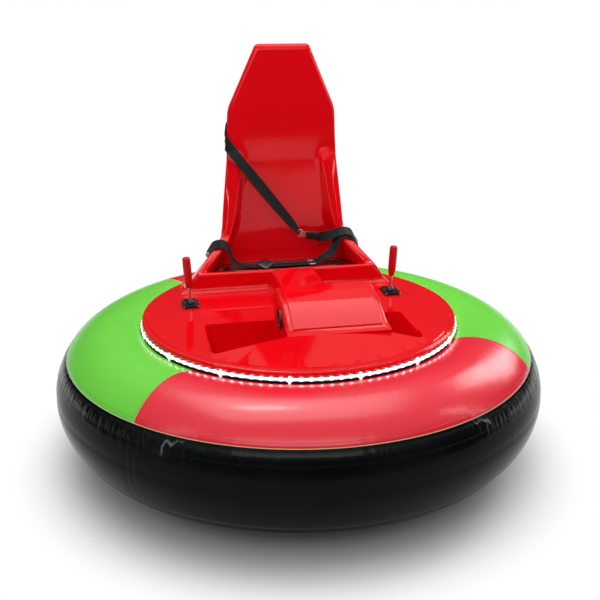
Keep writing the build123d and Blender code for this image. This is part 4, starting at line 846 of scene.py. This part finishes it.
def strap(name, knots, nodes_replaced=(), parts=12, thick=0.0022, edge=None):
    """Strap through rows of numbers: centre in millimetres (3), direction across (3) and width. The rows are
    joined by a smooth path, and a flat section with rounded, slightly thicker edges is carried along it. Past an
    edge, a plan line of x and y, the strap is folded: how far it lies past the line's start is run along the line."""
    line = smooth_path(np.array(knots, float), parts)
    centre, wide = line[:, :3] / 1000, line[:, 6] / 2000
    along = unit(np.gradient(centre, axis=0))
    across = unit(line[:, 3:6] - along * np.sum(line[:, 3:6] * along, 1, keepdims=True))
    lift = np.cross(across, along)
    v = np.array([-1, -0.985, -0.93, -0.85, 0, 0.85, 0.93, 0.985, 1, 0.985, 0.93, 0.85, 0, -0.85, -0.93, -0.985])
    h = np.array([0, 0.8, 1.25, 1, 1, 1, 1.25, 0.8, 0, -0.8, -1.25, -1, -1, -1, -1.25, -0.8]) * thick / 2
    flat = centre[:, None] + across[:, None] * (wide[:, None] * v)[..., None]
    lift = np.broadcast_to(lift[:, None], flat.shape).copy()
    if edge is not None:
        run = run_along(edge)
        past = edge[0, 0] - flat[..., 0]
        slope = np.gradient(edge, run, axis=0)
        turned_lift = np.stack([np.interp(past, run, slope[:, 1]), -np.interp(past, run, slope[:, 0]), 0 * past], -1)
        facing = np.sign(np.sum(lift * (0, -1, 0), -1, keepdims=True))
        lift = np.where(past[..., None] > 0, -turned_lift * facing, lift)
        for axis in (0, 1):
            flat[..., axis] = np.where(past > 0, np.interp(past, run, edge[:, axis]), flat[..., axis])
    points = flat + lift * h[None, :, None]
    count = len(centre)
    bands = [((k, 16 - k, 15 - k), (k, 15 - k, k + 1)) for k in range(1, 7)]
    lids = np.array([(0, 15, 1), *(face for band in bands for face in band), (7, 9, 8)])
    faces = [grid_faces(count, 16, close_columns=True), lids, lids[:, ::-1] + 16 * (count - 1)]
    piece = mesh_piece(name, points, faces, webbing, 1.0)
    corner = np.empty(len(piece.data.loops), np.int32)
    piece.data.loops.foreach_get("vertex_index", corner)
    uv = np.stack([np.repeat(run_along(centre), 16)[corner], np.tile(v, count)[corner] * 0.022], 1)
    piece.data.uv_layers.new(name="UVMap").data.foreach_set("uv", uv.astype(np.float32).ravel())
    welded(piece)
    for node in nodes_replaced:
        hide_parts(node)
    return piece


left_rim, right_rim = (0.1, 0.76, 0.64), (-0.1, 0.76, 0.64)
lap_knots = (
    (-321, 398, 689, *left_rim, 44), (-313, 395, 705, *left_rim, 44), (-291, 390, 736, *left_rim, 44),
    (-264, 387, 744, *left_rim, 44), (-240, 386, 735, *left_rim, 44), (-226, 383, 708, 0.1, 0.82, 0.55, 44),
    (-213, 374, 676, 0.1, 0.9, 0.4, 44), (-190, 362, 655, 0.1, 0.98, 0.15, 44), (-155, 356, 648, 0, 1, 0, 44),
    (-110, 355, 645.5, 0, 1, 0, 43), (-75, 355, 645, 0, 1, 0, 42), (-40, 355, 645.5, 0, 1, 0, 43),
    (20, 355, 646.5, 0, 1, 0.03, 43), (80, 355, 646, 0, 1, 0, 42), (126, 355, 646.5, 0, 1, 0, 40),
    (150, 357, 654, -0.1, 1, 0.1, 38), (176, 362, 668, -0.25, 0.9, 0.35, 38), (204, 372, 676, -0.2, 0.8, 0.55, 40),
    (228, 386, 692, -0.15, 0.76, 0.62, 42), (245, 396, 724, *right_rim, 44), (262, 402, 752, *right_rim, 44),
    (286, 403, 757, *right_rim, 44), (311, 404, 749, *right_rim, 44), (331, 408, 720, *right_rim, 44),
    (343, 412, 702, *right_rim, 44),
)
strap("lap_strap", lap_knots, ("lap_belt", "belt_wrap_left", "belt_wrap_right"))
strap("buckle_short_strap", (
    (168, 422, 746, 0, 0.15, 1, 40), (186, 421, 744, 0, 0.2, 1, 42), (212, 419, 747, 0, 0.45, 0.9, 44),
    (238, 414, 757, -0.05, 0.65, 0.75, 44), (262, 410, 765, *right_rim, 44), (288, 409, 768, *right_rim, 44),
    (315, 410, 758, *right_rim, 44), (336, 413, 727, *right_rim, 44), (349, 416, 706, *right_rim, 44),
), ("buckle_strap",))
# Plan of the back's left edge where the strap lies on it: front, side and rear, rounded at the corners
back_edge = np.array([(-206, 508.0), (-219, 508.0), (-207, 543.5), (-100, 545.0)]) / 1000
back_edge = rounded(back_edge, np.array([5, 5]) / 1000, 6)
strap("shoulder_strap", (
    (-310, 508, 1270, 0.788, 0, 0.625, 44), (-250, 508, 1194, 0.788, 0, 0.625, 44),
    (-208, 507, 1141, 0.788, 0.1, 0.625, 44), (-168, 479, 1089, 0.788, 0.167, 0.625, 44),
    (-120, 466, 1028, 0.788, 0.19, 0.62, 44), (-40, 452, 925, 0.788, 0.15, 0.61, 44),
    (50, 434, 812, 0.78, 0.2, 0.6, 36), (74, 427, 781, 0.75, 0.35, 0.6, 27), (88, 423, 764, 0.6, 0.3, 0.7, 24),
), ("shoulder_belt",), edge=back_edge)

# Each hidden strap end is held to the seat's flank by a hex bolt on a wide washer
for name, spot, axis in (
    ("lap_left", (-318, 397.5, 697), (-0.92, 0, 0.4)), ("lap_right", (339, 410.5, 709), (0.9, 0.05, 0.43)),
):
    turned(f"belt_washer_{name}", spot, axis, ((0, -2), (11, -2), (11, 2.2), (10.4, 2.8), (0, 2.8)), bright_zinc,
           32, 0.5)
    hex_piece(f"belt_bolt_{name}", spot, axis, head(7.4, 2, 8, 1.2, 1.0))

# The tongue is a pressed steel plate with a bar across its eye; the buckle and adjuster are moulded blocks
buckle_line = np.array([170, -4, -30.0])
buckle_axes = (buckle_line, (0.17, -0.08, 1.0), (0.02, -1.0, -0.08))
tongue_spot = np.array([100, 423, 759.5])
block("tongue_plate", tongue_spot + (4, -1, -1), buckle_axes, (30, 26, 3), (0.3, 0.4), bright_zinc, "bright_steel")
eye = closed_curve(np.array([(-9, -15), (9, -15), (9, 15), (-9, 15)], float), 5, 40)
eye_axes = unit(np.array(buckle_axes, float))
eye_path = (tongue_spot + (-9, 2, 3) + eye[:, :1] * eye_axes[0] + eye[:, 1:] * eye_axes[1]) / 1000
tongue_eye = welded(cord_round("tongue_eye", eye_path, 0.0021, bright_zinc, closed=True))
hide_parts("belt_tongue")
buckle_spot = tongue_spot + 45 * unit(buckle_line)
buckle = block("buckle_case", buckle_spot, buckle_axes, (64, 37, 20), (0.28, 0.55), black_plastic, "black_plastic")
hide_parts("belt_buckle")
block("buckle_button", buckle_spot + (-18, -6.5, 4.5), buckle_axes, (20, 26, 8), (0.35, 0.5), black_plastic,
      "black_plastic")
adjuster = block("lap_adjuster_block", (-76, 352, 654), ((1, 0.9, 0.4), (-1, 0.9, 0.4), (0, -0.4, 0.92)),
                 (54, 54, 10), (0.3, 0.5), black_plastic, "black_plastic")
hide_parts("lap_adjuster")
slide_path = closed_curve(np.array([(113, 327), (139, 327), (139, 383), (113, 383)], float), 8, 60)
slide_path = np.column_stack([slide_path, np.full(60, 649.2)]) / 1000
slide = welded(cord_round("lap_slide_frame", slide_path, 0.0024, bright_zinc, closed=True))
slide_bar = np.column_stack([np.full(12, 126), np.linspace(329, 381, 12), np.full(12, 650.0)]) / 1000
cord_round("lap_slide_bar", slide_bar, 0.0022, bright_zinc)
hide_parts("lap_slide")


# Levers. A bright plated rod stands in a domed black boot on each deck plate and carries a dipped red grip. The
# plate is held to the deck by four small cross-head screws.
red_grip = worn_material(
    "red grip", (0.56, 0.002, 0.008), (0.50, 0.002, 0.007), 0.3, 0.4, 0.02, 0.001, 0.00005, 0.2, specular=0.22
)
finish_nodes(bright_zinc, "lever_rod")
lever_x, lever_y, plate_top = 415, 130, 575.0
screw_x, screw_y = 27, 43
lever_lean = np.radians(3)
for side, sign in sides:
    axis = (np.sin(lever_lean) * sign, 0, np.cos(lever_lean))
    grip = turned(
        f"lever_handle_{side}", (lever_x * sign, lever_y, plate_top), axis,
        ((0, 66), (8.6, 66), (10.8, 67.5), (12.4, 71), (13.6, 78), (15.6, 90), (16.3, 105), (16.2, 150), (16.0, 178),
         (15.4, 186), (13.4, 190.5), (9, 192.3), (0, 192.7)),
        red_grip, body=f"lever_{side}",
    )
    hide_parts(f"lever_grip_{side}")
    low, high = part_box(f"lever_base_{side}")
    for along, dx in (("a", -screw_x), ("b", screw_x)):
        for aside, dy in (("a", -screw_y), ("b", screw_y)):
            spot = ((low[0] + high[0]) * 500 + dx, (low[1] + high[1]) * 500 + dy, plate_top)
            turned(f"lever_screw_{side}_{along}{aside}", spot, (0, 0, 1),
                   ((0, 1.4), (1.2, 1.6), (1.5, 2.6), (3.2, 2.2), (4.2, 0.9), (4.3, -0.4)), bright_zinc,
                   12)


# Studio. A pale seamless paper floor under soft boxes and thin strip lamps. Seen by the camera it fades to a white
# backdrop and keeps the shadow; the backdrop's mirror image darkens toward the horizon, as walls do.
paper, tree, shader = new_material("floor paper", (0.66, 0.67, 0.68), 0.6, specular=0.1)
white = new_node(tree, "Emission", {"Color": (1, 1, 1, 1), "Strength": 1.0})
far = new_node(tree, "VectorMath", {0: new_node(tree, "TexCoord").outputs["Object"]},
               operation="LENGTH").outputs["Value"]
path = new_node(tree, "LightPath")
seen = maths(tree, "MAXIMUM", path.outputs["Is Camera Ray"], path.outputs["Is Glossy Ray"])
seen = maths(tree, "MAXIMUM", seen, path.outputs["Is Transmission Ray"])
fade = maths(tree, "MULTIPLY", ramp(tree, far, 0.80, 1.16), seen)
surface = new_node(tree, "MixShader", {0: fade, 1: shader.outputs[0], 2: white.outputs[0]})
join(tree, tree.nodes["Material Output"], {"Surface": surface.outputs[0]})
floor_mesh = bpy.data.meshes.new("floor")
floor_mesh.from_pydata([(-12, -12, 0), (12, -12, 0), (12, 12, 0), (-12, 12, 0)], [], [(0, 1, 2, 3)])
floor_mesh.materials.append(paper)
placed("floor", floor_mesh)

world = bpy.data.worlds.new("studio")
bpy.context.scene.world = world
world.use_nodes = True
tree = world.node_tree
path = new_node(tree, "LightPath")
ray = new_node(tree, "SeparateXYZ", {0: new_node(tree, "TexCoord").outputs["Generated"]})
seen = maths(tree, "MAXIMUM", path.outputs["Is Camera Ray"], path.outputs["Is Transmission Ray"])
dome = maths(tree, "MULTIPLY_ADD", ramp(tree, ray.outputs["Z"], 0.25, 0.9), 0.7, 0.06)
glossy = maths(tree, "MULTIPLY", path.outputs["Is Glossy Ray"], dome)
plain = maths(tree, "MULTIPLY", maths(tree, "SUBTRACT", 1.0, path.outputs["Is Glossy Ray"]), 0.42)
level = maths(tree, "MAXIMUM", maths(tree, "ADD", glossy, plain), seen)
join(tree, tree.nodes["Background"], {"Color": (1, 1, 1, 1), "Strength": level})

# Columns: name, place, aim, width, height, power
for name, place, aim, width, height, power in (
    ("top box", (0.0, 0.5, 3.8), (0, 0.5, 0.4), 3.4, 2.8, 73),
    ("front box", (-0.8, -4.2, 3.8), (0, 0, 0.4), 5.0, 2.0, 57),
    ("overhead strip", (-0.42, 0.50, 3.7), (-0.2, -0.7, 0.5), 0.9, 0.13, 9),
    ("left strip", (-3.2, -1.6, 1.9), (0, 0, 0.8), 0.14, 2.6, 9),
    ("right strip", (3.3, -1.2, 2.0), (0, 0, 0.8), 0.14, 2.6, 8),
    ("right box", (3.6, 1.6, 2.6), (0, 0, 0.6), 1.6, 2.2, 62),
):
    lamp_data = bpy.data.lights.new(name, "AREA")
    lamp_data.shape = "RECTANGLE"
    lamp_data.size, lamp_data.size_y = width, height
    lamp_data.energy = power
    lamp = placed(name, lamp_data)
    lamp.location = place
    lamp.rotation_euler = (Vector(place) - Vector(aim)).to_track_quat("Z", "Y").to_euler()

bpy.context.scene.view_settings.view_transform = "Standard"
